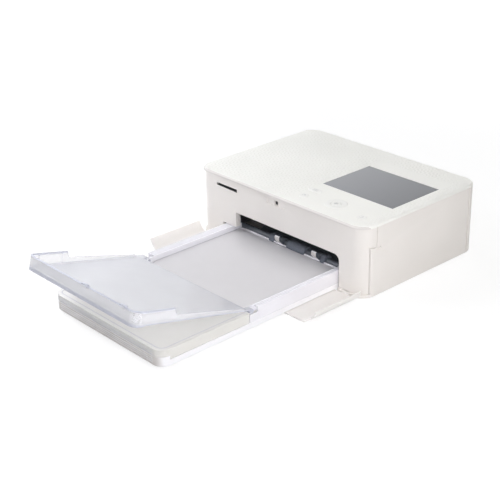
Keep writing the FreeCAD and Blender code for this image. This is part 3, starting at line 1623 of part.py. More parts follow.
def output_flap():
    """The clear tray, drawn flat with its hinge at the origin and then tilted up."""
    left, right, t = -s.tray_left, s.tray_right, s.flap_t
    low, far = s.flap_low, -s.flap_length
    corners = ((left, far), (right, far), (right, -s.flap_start), (left, -s.flap_start))
    inside = ((left + t, far + t), (right - t, far + t), (right - t, s.overrun),
              (left + t, s.overrun))
    shell = cut(outline("xy", corners, (low, s.tab_top), [((0, 1), s.flap_round)]),
                outline("xy", inside, (low + t, s.tab_top + s.overrun),
                        [((0, 1), s.flap_round - t)]))
    rim = outline("yz", (
        (-s.flap_start, low), (-s.flap_start, low + t), (-s.flap_wall_start, low + t),
        (-s.flap_wall_start, s.flap_wall_low), (-s.tab_start, s.flap_wall_high),
        (-s.tab_rise, s.tab_top), (far + t * 2, s.tab_top), (far, s.flap_front_top),
        (far, low)), (left, right))
    tray = common(shell, rim)
    hinge = (0, 0)
    lugs = []
    for outer, inner in ((left, -s.well_left - s.cover_t - s.seam_gap),
                         (right, s.well_right + s.cover_t + s.seam_gap)):
        side = -1 if outer.number < 0 else 1
        ends = sorted((outer, inner), key=number_of)
        pin = sorted((inner, inner - side * s.flap_pin_l), key=number_of)
        lugs.append(rod("x", ends, hinge, s.flap_lug_r))
        lugs.append(rod("x", pin, hinge, s.flap_pin_r))
        lugs.append(box(ends, (-s.flap_wall_start, 0), (s.flap_low, s.flap_lug_r)))
    clips = [box((x, x + s.clip_w), (far - s.clip_d / 4, far + s.clip_d),
                 (s.flap_front_top - s.clip_h / 2, s.flap_front_top + s.clip_h / 2))
             for x in (s.left_clip_x, s.right_clip_x)]
    flap = fuse(tray, *lugs, *clips)
    tilt = number_of(s.flap_tilt)
    flap.Placement = Placement(Vector(), Rotation(Vector(1, 0, 0), -tilt))
    bind(flap, "Placement.Base.y", -s.flap_y)
    bind(flap, "Placement.Base.z", s.flap_z)
    return flap


def build():
    part("base_cover", base_cover())
    part("rubber_feet", rubber_feet())
    part("body_shell", body_shell())
    part("front_panel", front_panel())
    part("top_cover", top_cover())
    part("ink_door", ink_door())
    part("front_door", front_door())
    part("screen_window", screen_window())
    part("lcd_module", lcd_module())
    part("menu_key", menu_key())
    part("power_key", round_key(s.power_x, -s.power_y, s.round_r))
    part("back_key", round_key(s.back_x, -s.back_y, s.round_r))
    part("print_key", print_key())
    part("direction_pad", direction_pad())
    part("key_board", key_board())
    part("main_board", main_board())
    part("board_screws", board_screws())
    part("usb_socket", usb_socket())
    part("dc_socket", dc_socket())
    part("card_reader", card_reader())
    part("flat_cable", flat_cable())
    part("chassis_left", chassis_left())
    part("chassis_right", chassis_right())
    part("head_bridge", head_bridge())
    part("feed_guide", feed_guide())
    part("return_guide", return_guide())
    part("rear_guide", rear_guide())
    part("gear_studs", gear_studs())
    part("pickup_shaft", geared_shaft(s.pickup_shaft_r, pickup_at, s.pickup_teeth, pickup_phase))
    part("pickup_tyres", pickup_tyres())
    part("exit_shaft", geared_shaft(s.exit_shaft_r, exit_at, s.exit_teeth, exit_phase))
    part("exit_tyres", exit_tyres())
    part("platen_roller", platen_roller())
    part("capstan", capstan())
    part("capstan_gear", gear(s.capstan_teeth, -s.outer_layer, capstan_at, 0, s.capstan_end_r))
    part("pinch_roller", pinch_roller())
    part("ribbon_idler", plain_idler(s.ribbon_teeth, ribbon_at, ribbon_phase))
    part("feed_idler", plain_idler(s.feed_teeth, feed_at, feed_phase))
    part("drive_idler", drive_idler())
    part("motor", motor())
    part("motor_pinion", motor_pinion())
    part("paper_fingers", paper_fingers())
    part("ink_shell", ink_shell())
    part("takeup_gear", takeup_gear())
    part("takeup_spool", spool(takeup_at, s.takeup_roll_r, s.hub_r))
    part("supply_spool", spool(supply_at, s.supply_roll_r, s.hub_r + s.spin_fit))
    part("ink_film", ink_film())
    part("thermal_head", thermal_head())
    part("head_carrier", head_carrier())
    part("head_pivot", head_pivot())
    part("head_springs", head_springs())
    part("release_lever", release_lever())
    part("cassette_base", cassette_base())
    part("lift_plate", lift_plate())
    part("lift_spring", lift_spring())
    part("paper_stack", paper_stack())
    part("front_cover", front_cover())
    part("rear_cover", rear_cover())
    part("output_flap", output_flap())


def check_and_write():
    doc.recompute()
    for item in doc.Objects:
        if "Invalid" in item.State or "Error" in item.State:
            raise RuntimeError(f"{item.Name} ({item.Label}) failed: {item.State}")
    for name, feature in parts.items():
        if feature.Shape.isNull() or not feature.Shape.isValid():
            raise RuntimeError(f"{name} has no valid shape")
    os.makedirs("parts", exist_ok=True)
    for name, feature in parts.items():
        feature.Shape.exportStep(f"parts/{name}.step")
        print(name, len(feature.Shape.Solids), round(feature.Shape.Volume, 2))


build()
check_and_write()
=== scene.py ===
import json
import math
import bmesh
import bpy
import numpy as np
from mathutils import Matrix, Vector


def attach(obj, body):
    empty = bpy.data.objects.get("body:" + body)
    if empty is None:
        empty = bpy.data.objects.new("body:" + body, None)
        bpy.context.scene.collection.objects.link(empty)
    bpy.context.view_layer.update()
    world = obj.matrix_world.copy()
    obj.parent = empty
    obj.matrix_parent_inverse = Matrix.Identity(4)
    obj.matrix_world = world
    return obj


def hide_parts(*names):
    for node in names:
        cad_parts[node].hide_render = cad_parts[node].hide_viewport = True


# A compact photo printer with its paper cassette in place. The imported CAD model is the
# frame, and this script dresses it. Metres, origin on the table under the body's middle.

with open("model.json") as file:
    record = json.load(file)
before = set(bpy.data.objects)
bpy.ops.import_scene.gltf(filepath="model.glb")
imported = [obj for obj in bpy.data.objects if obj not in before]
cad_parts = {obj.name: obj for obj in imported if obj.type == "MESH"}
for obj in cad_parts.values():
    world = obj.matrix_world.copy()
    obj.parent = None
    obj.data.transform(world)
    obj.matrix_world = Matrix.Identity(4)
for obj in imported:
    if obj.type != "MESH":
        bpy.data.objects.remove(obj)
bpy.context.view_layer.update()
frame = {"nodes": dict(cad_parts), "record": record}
nodes = frame["nodes"]
bodyOf = {node: body for body, members in frame["record"]["behaviour"]["bodies"].items()
          for node in members}
mm = 0.001
fullTurn = 2 * math.pi
mergeWithin = 2e-6                                   # metres between points taken as one

# The open flap's own frame: x, along its floor and up from it, turned about its hinge

flapFrame = {"hingeY": -151.0, "hingeZ": 14.5, "tilt": math.radians(14.1)}
flapCos, flapSin = math.cos(flapFrame["tilt"]), math.sin(flapFrame["tilt"])


def fromFlap(points):
    # flap places (x, along, up) to model places in mm: y = hinge + along cos + up sin,
    # z = hinge - along sin + up cos
    x, along, up = np.moveaxis(np.array(points, float), -1, 0)
    return np.stack([x, flapFrame["hingeY"] + flapCos * along + flapSin * up,
                     flapFrame["hingeZ"] - flapSin * along + flapCos * up], -1)


def toFlap(points):
    # model places in mm to flap places, the same turn taken back
    x, y, z = np.moveaxis(np.array(points, float), -1, 0)
    y, z = y - flapFrame["hingeY"], z - flapFrame["hingeZ"]
    return np.stack([x, flapCos * y - flapSin * z, flapSin * y + flapCos * z], -1)


# Node and colour helpers

def toLinear(hexColour):
    # sRGB hex to linear light: v/12.92 below 0.04045, else ((v + 0.055) / 1.055) ^ 2.4
    values = [int(hexColour[at:at + 2], 16) / 255 for at in (1, 3, 5)]
    return [v / 12.92 if v <= 0.04045 else ((v + 0.055) / 1.055) ** 2.4 for v in values] + [1.0]


def addNode(tree, kind, settings=None, links=None):
    node = tree.nodes.new(kind)
    for key, value in (settings or {}).items():
        if isinstance(key, int) or key in node.inputs:
            node.inputs[key].default_value = value
        else:
            setattr(node, key, value)
    for key, source in (links or {}).items():
        tree.links.new(source, node.inputs[key])
    return node


def startMaterial(name, shaderSettings):
    material = bpy.data.materials.new(name)
    material.use_nodes = True
    tree = material.node_tree
    tree.nodes.clear()
    shader = addNode(tree, "ShaderNodeBsdfPrincipled", shaderSettings)
    addNode(tree, "ShaderNodeOutputMaterial", links={"Surface": shader.outputs[0]})
    place = addNode(tree, "ShaderNodeTexCoord").outputs["Object"]
    return material, tree, shader, place


def grainOn(tree, place, sizeMm, detail=3.0, stretch=(1, 1, 1)):
    # noise whose lumps are about sizeMm across; stretch below 1 draws them out along an axis
    scaled = addNode(tree, "ShaderNodeMapping", {"Scale": [s / (sizeMm * mm) for s in stretch]},
                     {"Vector": place})
    return addNode(tree, "ShaderNodeTexNoise", {"Scale": 1.0, "Detail": detail},
                   {"Vector": scaled.outputs[0]}).outputs["Fac"]


def varyColour(tree, shader, factor, lowHex, highHex, low=0.3, high=0.7):
    # the base colour goes from lowHex to highHex as the factor goes from low to high
    ramp = addNode(tree, "ShaderNodeValToRGB", links={"Fac": factor})
    for end, colour, position in zip(ramp.color_ramp.elements, (lowHex, highHex), (low, high)):
        end.color = toLinear(colour)
        end.position = position
    tree.links.new(ramp.outputs[0], shader.inputs["Base Color"])


def varyRoughness(tree, shader, factor, low, high):
    spread = addNode(tree, "ShaderNodeMapRange", {"To Min": low, "To Max": high},
                     {"Value": factor})
    tree.links.new(spread.outputs[0], shader.inputs["Roughness"])


def raiseBumps(tree, shader, height, depthMm):
    # a height from 0 to 1 stands for bumps as deep as depthMm
    bump = addNode(tree, "ShaderNodeBump", {"Strength": 1.0, "Distance": depthMm * mm},
                   {"Height": height})
    tree.links.new(bump.outputs[0], shader.inputs["Normal"])


# Finishes

satin = {"ior": 1.53, "cloudMm": 45, "grainMm": 0.55, "deepMm": 0.012}


def satinSkin(name, lowHex, highHex, low=0.38, high=0.5):
    # an injection moulded skin, spark eroded to a satin grain: soft highlights, faint clouds.
    # The real grain is 0.1 mm, coarser here to show
    material, tree, shader, place = startMaterial(name, {"IOR": satin["ior"]})
    varyColour(tree, shader, grainOn(tree, place, satin["cloudMm"], 1.0), lowHex, highHex)
    fine = grainOn(tree, place, satin["grainMm"])
    varyRoughness(tree, shader, fine, low, high)
    raiseBumps(tree, shader, fine, satin["deepMm"])
    return material


wave = {"low": "#F4F4EF", "high": "#F8F8F3", "rough": (0.5, 0.62), "specular": 0.32,
        "cloudMm": 60, "grainMm": 0.5, "turn": math.radians(32), "pitchMm": 3.0, "deepMm": 0.09,
        "swingMm": 1.6, "swingPitchMm": 11.0, "plainX": (8.2, 82.4), "plainRear": 46.0}


def wavedAbs():
    # white ABS whose mould has shallow diagonal waves, with a plain field round the screen:
    # height = sin(turn (y + swing sin(turn x / swingPitch)) / pitch) outside that field
    material, tree, shader, place = startMaterial(
        "wavedWhiteAbs", {"IOR": satin["ior"], "Specular IOR Level": wave["specular"]})
    varyColour(tree, shader, grainOn(tree, place, wave["cloudMm"], 1.0), wave["low"],
               wave["high"])
    turned = addNode(tree, "ShaderNodeMapping",
                     {"Rotation": (0, 0, wave["turn"]), "Scale": [1 / mm] * 3},
                     {"Vector": place})
    across = addNode(tree, "ShaderNodeSeparateXYZ", links={0: turned.outputs[0]})
    plain = addNode(tree, "ShaderNodeSeparateXYZ", links={0: place})
    made = {"x": across.outputs["X"], "y": across.outputs["Y"],
            "plainX": plain.outputs["X"], "plainY": plain.outputs["Y"]}
    fieldLeft, fieldRight = (x * mm for x in wave["plainX"])
    steps = (("swingTurn", "MULTIPLY", "x", fullTurn / wave["swingPitchMm"]),
             ("swing", "SINE", "swingTurn"),
             ("shift", "MULTIPLY", "swing", wave["swingMm"]),
             ("along", "ADD", "y", "shift"),
             ("ridgeTurn", "MULTIPLY", "along", fullTurn / wave["pitchMm"]),
             ("ridge", "SINE", "ridgeTurn"),
             ("pastLeft", "GREATER_THAN", "plainX", fieldLeft),
             ("beforeRight", "LESS_THAN", "plainX", fieldRight),
             ("between", "MULTIPLY", "pastLeft", "beforeRight"),
             ("ahead", "LESS_THAN", "plainY", wave["plainRear"] * mm),
             ("field", "MULTIPLY", "between", "ahead"),
             ("waved", "SUBTRACT", 1.0, "field"),
             ("height", "MULTIPLY", "ridge", "waved"))
    for name, operation, *inputs in steps:              # a word is an earlier step's result
        settings = {at: v for at, v in enumerate(inputs) if not isinstance(v, str)}
        links = {at: made[v] for at, v in enumerate(inputs) if isinstance(v, str)}
        step = addNode(tree, "ShaderNodeMath", {"operation": operation, **settings}, links)
        made[name] = step.outputs[0]
    raiseBumps(tree, shader, made["height"], wave["deepMm"])
    varyRoughness(tree, shader, grainOn(tree, place, wave["grainMm"]), *wave["rough"])
    return material


styrene = {"ior": 1.57, "facing": 0.3, "wallUnder": 0.5, "floorOver": 0.85, "bodyTo": 0.25,
           "edgeFrom": 0.9, "wearMm": 25, "wear": 0.03, "swellMm": 9, "swellDeepMm": 0.02}
# front is a painted shade, laid on the faces as they turn towards the front
trayLook = {"white": "#F6F6F8", "front": "#D3CFCB", "shadeFrom": -0.55, "shadeFull": -0.98,
            "grainMm": 0.6, "deepMm": 0.01, "rough": (0.28, 0.36)}


def trayStyrene():
    # white polystyrene with a mould polish; faces towards the front get a painted shade, greyer
    material, tree, shader, place = startMaterial("trayStyreneShadedFront", {"IOR": styrene["ior"]})
    parts = addNode(tree, "ShaderNodeSeparateXYZ", links={
        0: addNode(tree, "ShaderNodeTexCoord").outputs["Normal"]})
    ahead = addNode(tree, "ShaderNodeMapRange",
                    {"From Min": trayLook["shadeFrom"], "From Max": trayLook["shadeFull"]},
                    {"Value": parts.outputs["Y"]})
    varyColour(tree, shader, ahead.outputs[0], trayLook["white"], trayLook["front"], 0.0, 1.0)
    fine = grainOn(tree, place, trayLook["grainMm"])
    varyRoughness(tree, shader, fine, *trayLook["rough"])
    raiseBumps(tree, shader, fine, trayLook["deepMm"])
    return material


# left and right are a painted reflection across the screen, paler on the left
screenLook = {"ior": 1.49, "specular": 0.2, "coat": 0.12, "coatRough": 0.03, "reflectionLeftX": 12,
              "reflectionRightX": 80, "left": "#989A9E", "right": "#7A7C80", "smearMm": 6,
              "rough": (0.07, 0.1)}


def screenAcrylicPaintedReflection():
    # acrylic over an idle display: smooth mid grey, with a painted reflection that makes it a
    # little paler towards its left
    material, tree, shader, place = startMaterial(
        "screenAcrylicPaintedReflection", {"IOR": screenLook["ior"], "Coat Weight": screenLook["coat"],
                          "Coat Roughness": screenLook["coatRough"],
                          "Specular IOR Level": screenLook["specular"]})
    parts = addNode(tree, "ShaderNodeSeparateXYZ", links={0: place})
    fade = addNode(tree, "ShaderNodeMapRange", {"From Min": screenLook["reflectionLeftX"] * mm,
                                                "From Max": screenLook["reflectionRightX"] * mm},
                   {"Value": parts.outputs["X"]})
    varyColour(tree, shader, fade.outputs[0], screenLook["left"], screenLook["right"], 0.0, 1.0)
    smears = grainOn(tree, place, screenLook["smearMm"])
    varyRoughness(tree, shader, smears, *screenLook["rough"])
    return material


# heights square to the tilted flap floor, in mm: the floor's own edge glows along the foot of
# the walls, and the walls' rim glows along their top
flapFoot = flapSin * flapFrame["hingeY"] + flapCos * flapFrame["hingeZ"] + 0.5
flapGlow = {"footLow": flapFoot, "footHigh": flapFoot + 2.2, "foot": 0.85, "wallUnder": 0.7,
            "rimLow": flapFoot + 8.2, "rimHigh": flapFoot + 8.9, "rim": 0.9}


def clearStyrene(name, bodyHex, edgeHex, alpha, rough=0.12, shade=0.35, glow=None):
    # clear injection moulded polystyrene: faint blue, and bluer at edges seen along their depth.
    # alpha is (wall, floor, extra at glancing edges), shade is what is left of it in shadows
    material, tree, shader, place = startMaterial(
        name, {"IOR": styrene["ior"], "Roughness": rough, "Specular IOR Level": 0.5})
    glance = addNode(tree, "ShaderNodeLayerWeight", {"Blend": styrene["facing"]})
    parts = addNode(tree, "ShaderNodeSeparateXYZ", links={
        0: addNode(tree, "ShaderNodeTexCoord").outputs["Normal"]})
    level = addNode(tree, "ShaderNodeMath", {"operation": "ABSOLUTE"}, {0: parts.outputs["Z"]})
    flat = addNode(tree, "ShaderNodeMapRange",
                   {"From Min": styrene["wallUnder"], "From Max": styrene["floorOver"],
                    "To Min": alpha[0], "To Max": alpha[1]}, {"Value": level.outputs[0]})
    blue = addNode(tree, "ShaderNodeMapRange", {"To Min": 0.0, "To Max": 1.0},
                   {"Value": glance.outputs["Facing"]}).outputs[0]
    if glow:
        height = addNode(tree, "ShaderNodeVectorMath",
                         {"operation": "DOT_PRODUCT", 1: (0, flapSin, flapCos)},
                         {0: place}).outputs["Value"]
        foot = addNode(tree, "ShaderNodeMapRange",
                       {"From Min": glow["footLow"] * mm, "From Max": glow["footHigh"] * mm,
                        "To Min": glow["foot"], "To Max": 0.0}, {"Value": height})
        upright = addNode(tree, "ShaderNodeMath",
                          {"operation": "LESS_THAN", 1: glow["wallUnder"]},
                          {0: level.outputs[0]})
        band = addNode(tree, "ShaderNodeMath", {"operation": "MULTIPLY"},
                       {0: foot.outputs[0], 1: upright.outputs[0]})
        rim = addNode(tree, "ShaderNodeMapRange",
                      {"From Min": glow["rimLow"] * mm, "From Max": glow["rimHigh"] * mm,
                       "To Min": 0.0, "To Max": glow["rim"]}, {"Value": height})
        both = addNode(tree, "ShaderNodeMath", {"operation": "MAXIMUM"},
                       {0: band.outputs[0], 1: rim.outputs[0]})
        blue = addNode(tree, "ShaderNodeMath", {"operation": "ADD", "use_clamp": True},
                       {0: blue, 1: both.outputs[0]}).outputs[0]
    varyColour(tree, shader, blue, bodyHex, edgeHex, styrene["bodyTo"], styrene["edgeFrom"])
    extra = addNode(tree, "ShaderNodeMath", {"operation": "MULTIPLY_ADD", 1: alpha[2]},
                    {0: blue, 2: flat.outputs[0]})
    worn = addNode(tree, "ShaderNodeMapRange",
                   {"To Min": -styrene["wear"], "To Max": styrene["wear"]},
                   {"Value": grainOn(tree, place, styrene["wearMm"], 2.0)})
    total = addNode(tree, "ShaderNodeMath", {"operation": "ADD", "use_clamp": True},
                    {0: extra.outputs[0], 1: worn.outputs[0]})
    passed = addNode(tree, "ShaderNodeMapRange", {"To Min": 1.0, "To Max": shade},
                     {"Value": addNode(tree, "ShaderNodeLightPath").outputs["Is Shadow Ray"]})
    seen = addNode(tree, "ShaderNodeMath", {"operation": "MULTIPLY"},
                   {0: total.outputs[0], 1: passed.outputs[0]})
    tree.links.new(seen.outputs[0], shader.inputs["Alpha"])
    raiseBumps(tree, shader, grainOn(tree, place, styrene["swellMm"], 1.0),
               styrene["swellDeepMm"])
    return material


cardLook = {"ior": 1.5, "coat": 0.35, "coatRough": 0.12, "low": "#EFEDEA", "high": "#F4F3F0",
            "cloudMm": 35, "fibreMm": 2.0, "rough": (0.3, 0.38)}


def coatedCard():
    # glossy coated card: clean white with faint clouds
    material, tree, shader, place = startMaterial(
        "coatedCard", {"IOR": cardLook["ior"], "Coat Weight": cardLook["coat"],
                       "Coat Roughness": cardLook["coatRough"]})
    cloud = grainOn(tree, place, cardLook["cloudMm"], 1.0)
    varyColour(tree, shader, cloud, cardLook["low"], cardLook["high"])
    varyRoughness(tree, shader, grainOn(tree, place, cardLook["fibreMm"]), *cardLook["rough"])
    return material


rubber = {"ior": 1.52, "specular": 0.3, "bloomMm": 4.0, "rough": (0.62, 0.8), "deepMm": 0.03}


def softRubber(name, lowHex, highHex, sizeMm=0.7):
    # moulded rubber: matt, with a little bloom
    material, tree, shader, place = startMaterial(
        name, {"IOR": rubber["ior"], "Specular IOR Level": rubber["specular"]})
    fine = grainOn(tree, place, sizeMm)
    varyColour(tree, shader, fine, lowHex, highHex)
    varyRoughness(tree, shader, grainOn(tree, place, rubber["bloomMm"]), *rubber["rough"])
    raiseBumps(tree, shader, fine, rubber["deepMm"])
    return material


metal = {"detail": 4.0, "deepMm": 0.004}


def workedMetal(name, lowHex, highHex, stretch=(1, 1, 1), low=0.22, high=0.38, sizeMm=0.5):
    # metal with fine machining or rolling marks drawn out along one axis
    material, tree, shader, place = startMaterial(name, {"Metallic": 1.0})
    marks = grainOn(tree, place, sizeMm, metal["detail"], stretch)
    varyColour(tree, shader, marks, lowHex, highHex)
    varyRoughness(tree, shader, marks, low, high)
    raiseBumps(tree, shader, marks, metal["deepMm"])
    return material


boardLook = {"ior": 1.55, "mask": "#14532F", "track": "#2F7A50", "trackMm": 2.38095,
             "trackEdge": (0.05, 0.12), "fluxMm": 3.0, "rough": (0.25, 0.38), "deepMm": 0.03}


def solderMask():
    # glass epoxy board: glossy green mask with faint copper tracks under it
    material, tree, shader, place = startMaterial("solderMask", {"IOR": boardLook["ior"]})
    scaled = addNode(tree, "ShaderNodeMapping",
                     {"Scale": [1 / (boardLook["trackMm"] * mm)] * 3}, {"Vector": place})
    tracks = addNode(tree, "ShaderNodeTexVoronoi", {"feature": "DISTANCE_TO_EDGE", "Scale": 1.0},
                     {"Vector": scaled.outputs[0]}).outputs[0]
    varyColour(tree, shader, tracks, boardLook["track"], boardLook["mask"],
               *boardLook["trackEdge"])
    varyRoughness(tree, shader, grainOn(tree, place, boardLook["fluxMm"]), *boardLook["rough"])
    raiseBumps(tree, shader, tracks, boardLook["deepMm"])
    return material


finishes = {
    "case": satinSkin("satinWhiteAbs", "#EBE7E2", "#EFEBE6"),            # warm white
    "top": wavedAbs(),
    "rim": satinSkin("rimShadedWhiteAbs", "#DDD9D5", "#E1DDD9", 0.6, 0.7),     # matt, and painted darker as shade over its highlight
    "tray": trayStyrene(),
    "doorInside": satinSkin("doorWhiteAbs", "#F1EEEA", "#F5F2EF", 0.42, 0.52),
    "keyTop": satinSkin("keyAbs", "#F0F0EC", "#F4F4F0", 0.42, 0.52),     # a shade under the top
    "icon": satinSkin("iconInkGrey", "#C6C6C5", "#CDCDCC", 0.4, 0.5),    # pale printed ink
    "screen": screenAcrylicPaintedReflection(),
    # the flap is see-through, the covers are milky over the white tray, lips and rail beads are
    # painted bright as a highlight, beads and catches are painted darker as shade, where they are
    # seen along their depth
    "flap": clearStyrene("clearStyreneFlap", "#ECECED", "#C6C9D6", (0.26, 0.46, 0.42),
                         glow=flapGlow),
    "coverClear": clearStyrene("clearStyreneCover", "#EBEAE5", "#D0D0DB", (0.7, 0.84, 0.15)),
    "coverFrosted": clearStyrene("frostedStyreneCover", "#D6D4D4", "#CBCCD6",
                                 (0.7, 0.9, 0.1), 0.3),
    "rail": clearStyrene("clearStyreneRail", "#F5F4F8", "#E2E2EC", (0.78, 0.66, 0.15), 0.15),
    "lip": clearStyrene("clearStyreneLipHighlight", "#F8F8FB", "#D4D6E6", (0.8, 0.95, 0.05), 0.06),
    "bead": clearStyrene("clearStyreneBeadShade", "#CDCDD3", "#B4B6C6", (0.85, 0.9, 0.1), 0.1),
    "catch": clearStyrene("clearStyreneCatchShade", "#A4A5AB", "#8E909A", (0.9, 0.95, 0.05), 0.1),
    "paper": coatedCard(),
    # the drive, the ink and the electronics
    "blueRubber": softRubber("driveRubber", "#666B73", "#737881"),
    "footRubber": softRubber("footRubber", "#4A4A4C", "#565658", 1.2),
    "blackPlastic": satinSkin("blackPolyacetal", "#1B1C1F", "#232428", 0.35, 0.5),
    "guidePlastic": satinSkin("greyGuideStyrene", "#53585D", "#5F656A", 0.3, 0.42),
    "inkPlastic": satinSkin("darkGreyStyrene", "#3C3D42", "#46474C", 0.3, 0.42),
    "film": satinSkin("dyeFilm", "#2A2433", "#3A2E40", 0.12, 0.2),       # glossy violet black
    "greyAcetal": satinSkin("greyAcetal", "#5B6066", "#666B72", 0.35, 0.5),
    "whiteAcetal": satinSkin("naturalAcetal", "#E9E8E0", "#EFEEE7", 0.35, 0.45),
    "cable": satinSkin("flatCablePolyester", "#C9B48A", "#D3C09A", 0.3, 0.4),
    "ceramic": satinSkin("glazedCeramic", "#D9D0BE", "#E2DACA", 0.12, 0.2),
    "board": solderMask(),
    "shaft": workedMetal("groundSteel", "#A6A9AD", "#B9BCC0", (0.02, 1, 1), 0.16, 0.28),
    "sheet": workedMetal("zincPlatedSheet", "#9EA2A6", "#B4B7BA", (1, 0.15, 1), 0.3, 0.45, 1.5),
    "can": workedMetal("platedCan", "#AEB0B2", "#BDBFC1", (1, 0.1, 1), 0.25, 0.38),
    "spring": workedMetal("springSteel", "#8E9196", "#A3A6AA", (1, 1, 1), 0.25, 0.4),
    "brass": workedMetal("cutBrass", "#C9A558", "#D7B66B", (1, 1, 1), 0.22, 0.35),
    "aluminium": workedMetal("extrudedAluminium", "#BFC1C4", "#CDCFD1", (0.03, 1, 1), 0.3, 0.42),
}
print("finishes ready", len(finishes))

# The CAD nodes that stay, under the finish that each gets

nodesOf = {
    "board": ("key_board", "main_board"),
    # the card reader is black as a painted shade, darkening the card slot
    "blackPlastic": ("lcd_module", "dc_socket", "card_reader", "release_lever"),
    "can": ("usb_socket", "motor"),
    "cable": ("flat_cable",),
    "sheet": ("chassis_left", "chassis_right", "head_bridge"),
    "guidePlastic": ("feed_guide", "return_guide", "rear_guide"),
    "shaft": ("gear_studs", "capstan", "pinch_roller", "head_pivot"),
    "greyAcetal": ("pickup_shaft", "exit_shaft"),
    "blueRubber": ("exit_tyres", "platen_roller"),
    "whiteAcetal": ("capstan_gear", "ribbon_idler", "feed_idler", "drive_idler", "takeup_gear"),
    "brass": ("motor_pinion",),
    "inkPlastic": ("ink_shell",),
    "film": ("takeup_spool", "supply_spool", "ink_film"),
    "ceramic": ("thermal_head",),
    "aluminium": ("head_carrier",),
    "tray": ("lift_plate",),
    "spring": ("board_screws", "head_springs", "lift_spring"),
}
for finish, members in nodesOf.items():
    for node in members:
        nodes[node].data.materials.clear()
        nodes[node].data.materials.append(finishes[finish])
print("CAD nodes finished", sum(map(len, nodesOf.values())))

# Mesh helpers

edges = {"segments": 2, "over": 32, "flatWithin": 0.8}           # angles in degrees


def newPiece(name, mesh, finish, body):
    mesh.materials.clear()
    mesh.materials.append(finishes[finish])
    piece = bpy.data.objects.new(name, mesh)
    bpy.context.scene.collection.objects.link(piece)
    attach(piece, body)
    return piece


def smoothUnder(mesh, degrees):
    # smooth shading, with edges that turn by more than the angle kept sharp
    mesh.shade_smooth()
    mesh.set_sharp_from_angle(angle=math.radians(degrees))


def addBevel(piece, widthMm):
    bevel = piece.modifiers.new("edges", "BEVEL")
    bevel.width = widthMm * mm
    bevel.segments = edges["segments"]
    bevel.limit_method = "ANGLE"
    bevel.angle_limit = math.radians(edges["over"])
    bevel.harden_normals = True


def closedMesh(name, points, faces):
    # a skin through points in mm, its doubles merged and its faces turned outwards
    mesh = bpy.data.meshes.new(name)
    mesh.from_pydata((points * mm).tolist(), [], faces)
    work = bmesh.new()
    work.from_mesh(mesh)
    bmesh.ops.remove_doubles(work, verts=work.verts, dist=mergeWithin)
    bmesh.ops.recalc_face_normals(work, faces=work.faces)
    work.to_mesh(mesh)
    work.free()
    return mesh


def loft(name, rings, closeEnds=True):
    # rings of points (count, steps, 3) joined in order; each end is closed with one face
    count, steps = rings.shape[:2]
    at = np.arange(count * steps).reshape(count, steps)
    ahead = np.roll(at, -1, axis=1)
    faces = np.stack([at[:-1], ahead[:-1], ahead[1:], at[1:]], -1).reshape(-1, 4).tolist()
    if closeEnds:
        faces += [at[0, ::-1].tolist(), at[-1].tolist()]
    return closedMesh(name, rings.reshape(-1, 3), faces)


# Pieces that keep a CAD node's shape, with their edges rounded off. Three of them are first
# fitted to the photograph by parts of a millimetre. All fits are in mm

doorFit = {"gaps": ((3.3, 3.07), (55.0, 55.33)), "within": 0.02, "hinge": (89.3, 52.5),
           "past": 0.01, "roll": 1.8, "rollFull": 2.12}


def fitDoor(p):
    # the running gaps drawn finer than the CAD leaves them: bottom, top, and the hinge's roll,
    # whose outer quarter is filled out to radius min(rollFull, roll / cos)
    for old, new in doorFit["gaps"]:
        p[np.abs(p[:, 2] - old) < doorFit["within"], 2] = new
    x, y = (p[:, :2] - doorFit["hinge"]).T
    roll = (x > doorFit["past"]) & (y > doorFit["past"])
    turn = np.arctan2(y[roll], x[roll])
    r = np.minimum(doorFit["rollFull"], doorFit["roll"] / np.cos(turn))
    p[roll, 0] = doorFit["hinge"][0] + r * np.cos(turn)
    p[roll, 1] = doorFit["hinge"][1] + r * np.sin(turn)


panelFit = {"cornerX": 78.1, "cornerY": -53.5, "outside": 12.85, "tongueFrom": -57.5,
            "tongueOver": 39.5, "radius": 11.5, "grow": 0.8, "growOver": 6.1, "within": 0.05,
            "mouthEdge": (16.8, 16.4), "mouthLeftOf": -40.0,
            "card": (-68.2, -43.4), "cardLow": (46.0, 48.2), "cardTop": 50.0, "cardDrop": 0.4}


def fitPanel(p):
    # the side tongues run on from the corners: their outer radius grows towards the rear edge
    x, y = np.abs(p[:, 0]) - panelFit["cornerX"], p[:, 1] - panelFit["cornerY"]
    outer = np.where(y < 0, np.hypot(x, y), x) > panelFit["outside"]
    back = p[:, 1] - panelFit["tongueFrom"]
    tongue = outer & (back > -panelFit["within"]) & (p[:, 2] > panelFit["tongueOver"])
    r = panelFit["radius"] + panelFit["grow"] * back / panelFit["growOver"]
    wide = panelFit["cornerX"] + np.sqrt(np.maximum(r ** 2 - np.minimum(y, 0) ** 2, 0))
    p[tongue, 0] = (np.sign(p[:, 0]) * wide)[tongue]
    # the mouth's left edge comes down to just over the rail, and the card slot's lower edge
    # comes down as well
    old, new = panelFit["mouthEdge"]
    mouth = np.abs(p[:, 2] - old) < panelFit["within"]
    p[mouth & (p[:, 0] < panelFit["mouthLeftOf"]), 2] = new
    (left, right), (low, high) = panelFit["card"], panelFit["cardLow"]
    card = (p[:, 0] > left) & (p[:, 0] < right) & (p[:, 2] > low) & (p[:, 2] < high)
    p[card, 2] -= panelFit["cardDrop"]


flapCorner = {"x": -50.5, "along": -95.0, "past": 0.02, "outer": 8.0, "inner": 6.5,
              "between": 7.2, "tight": 1.5}


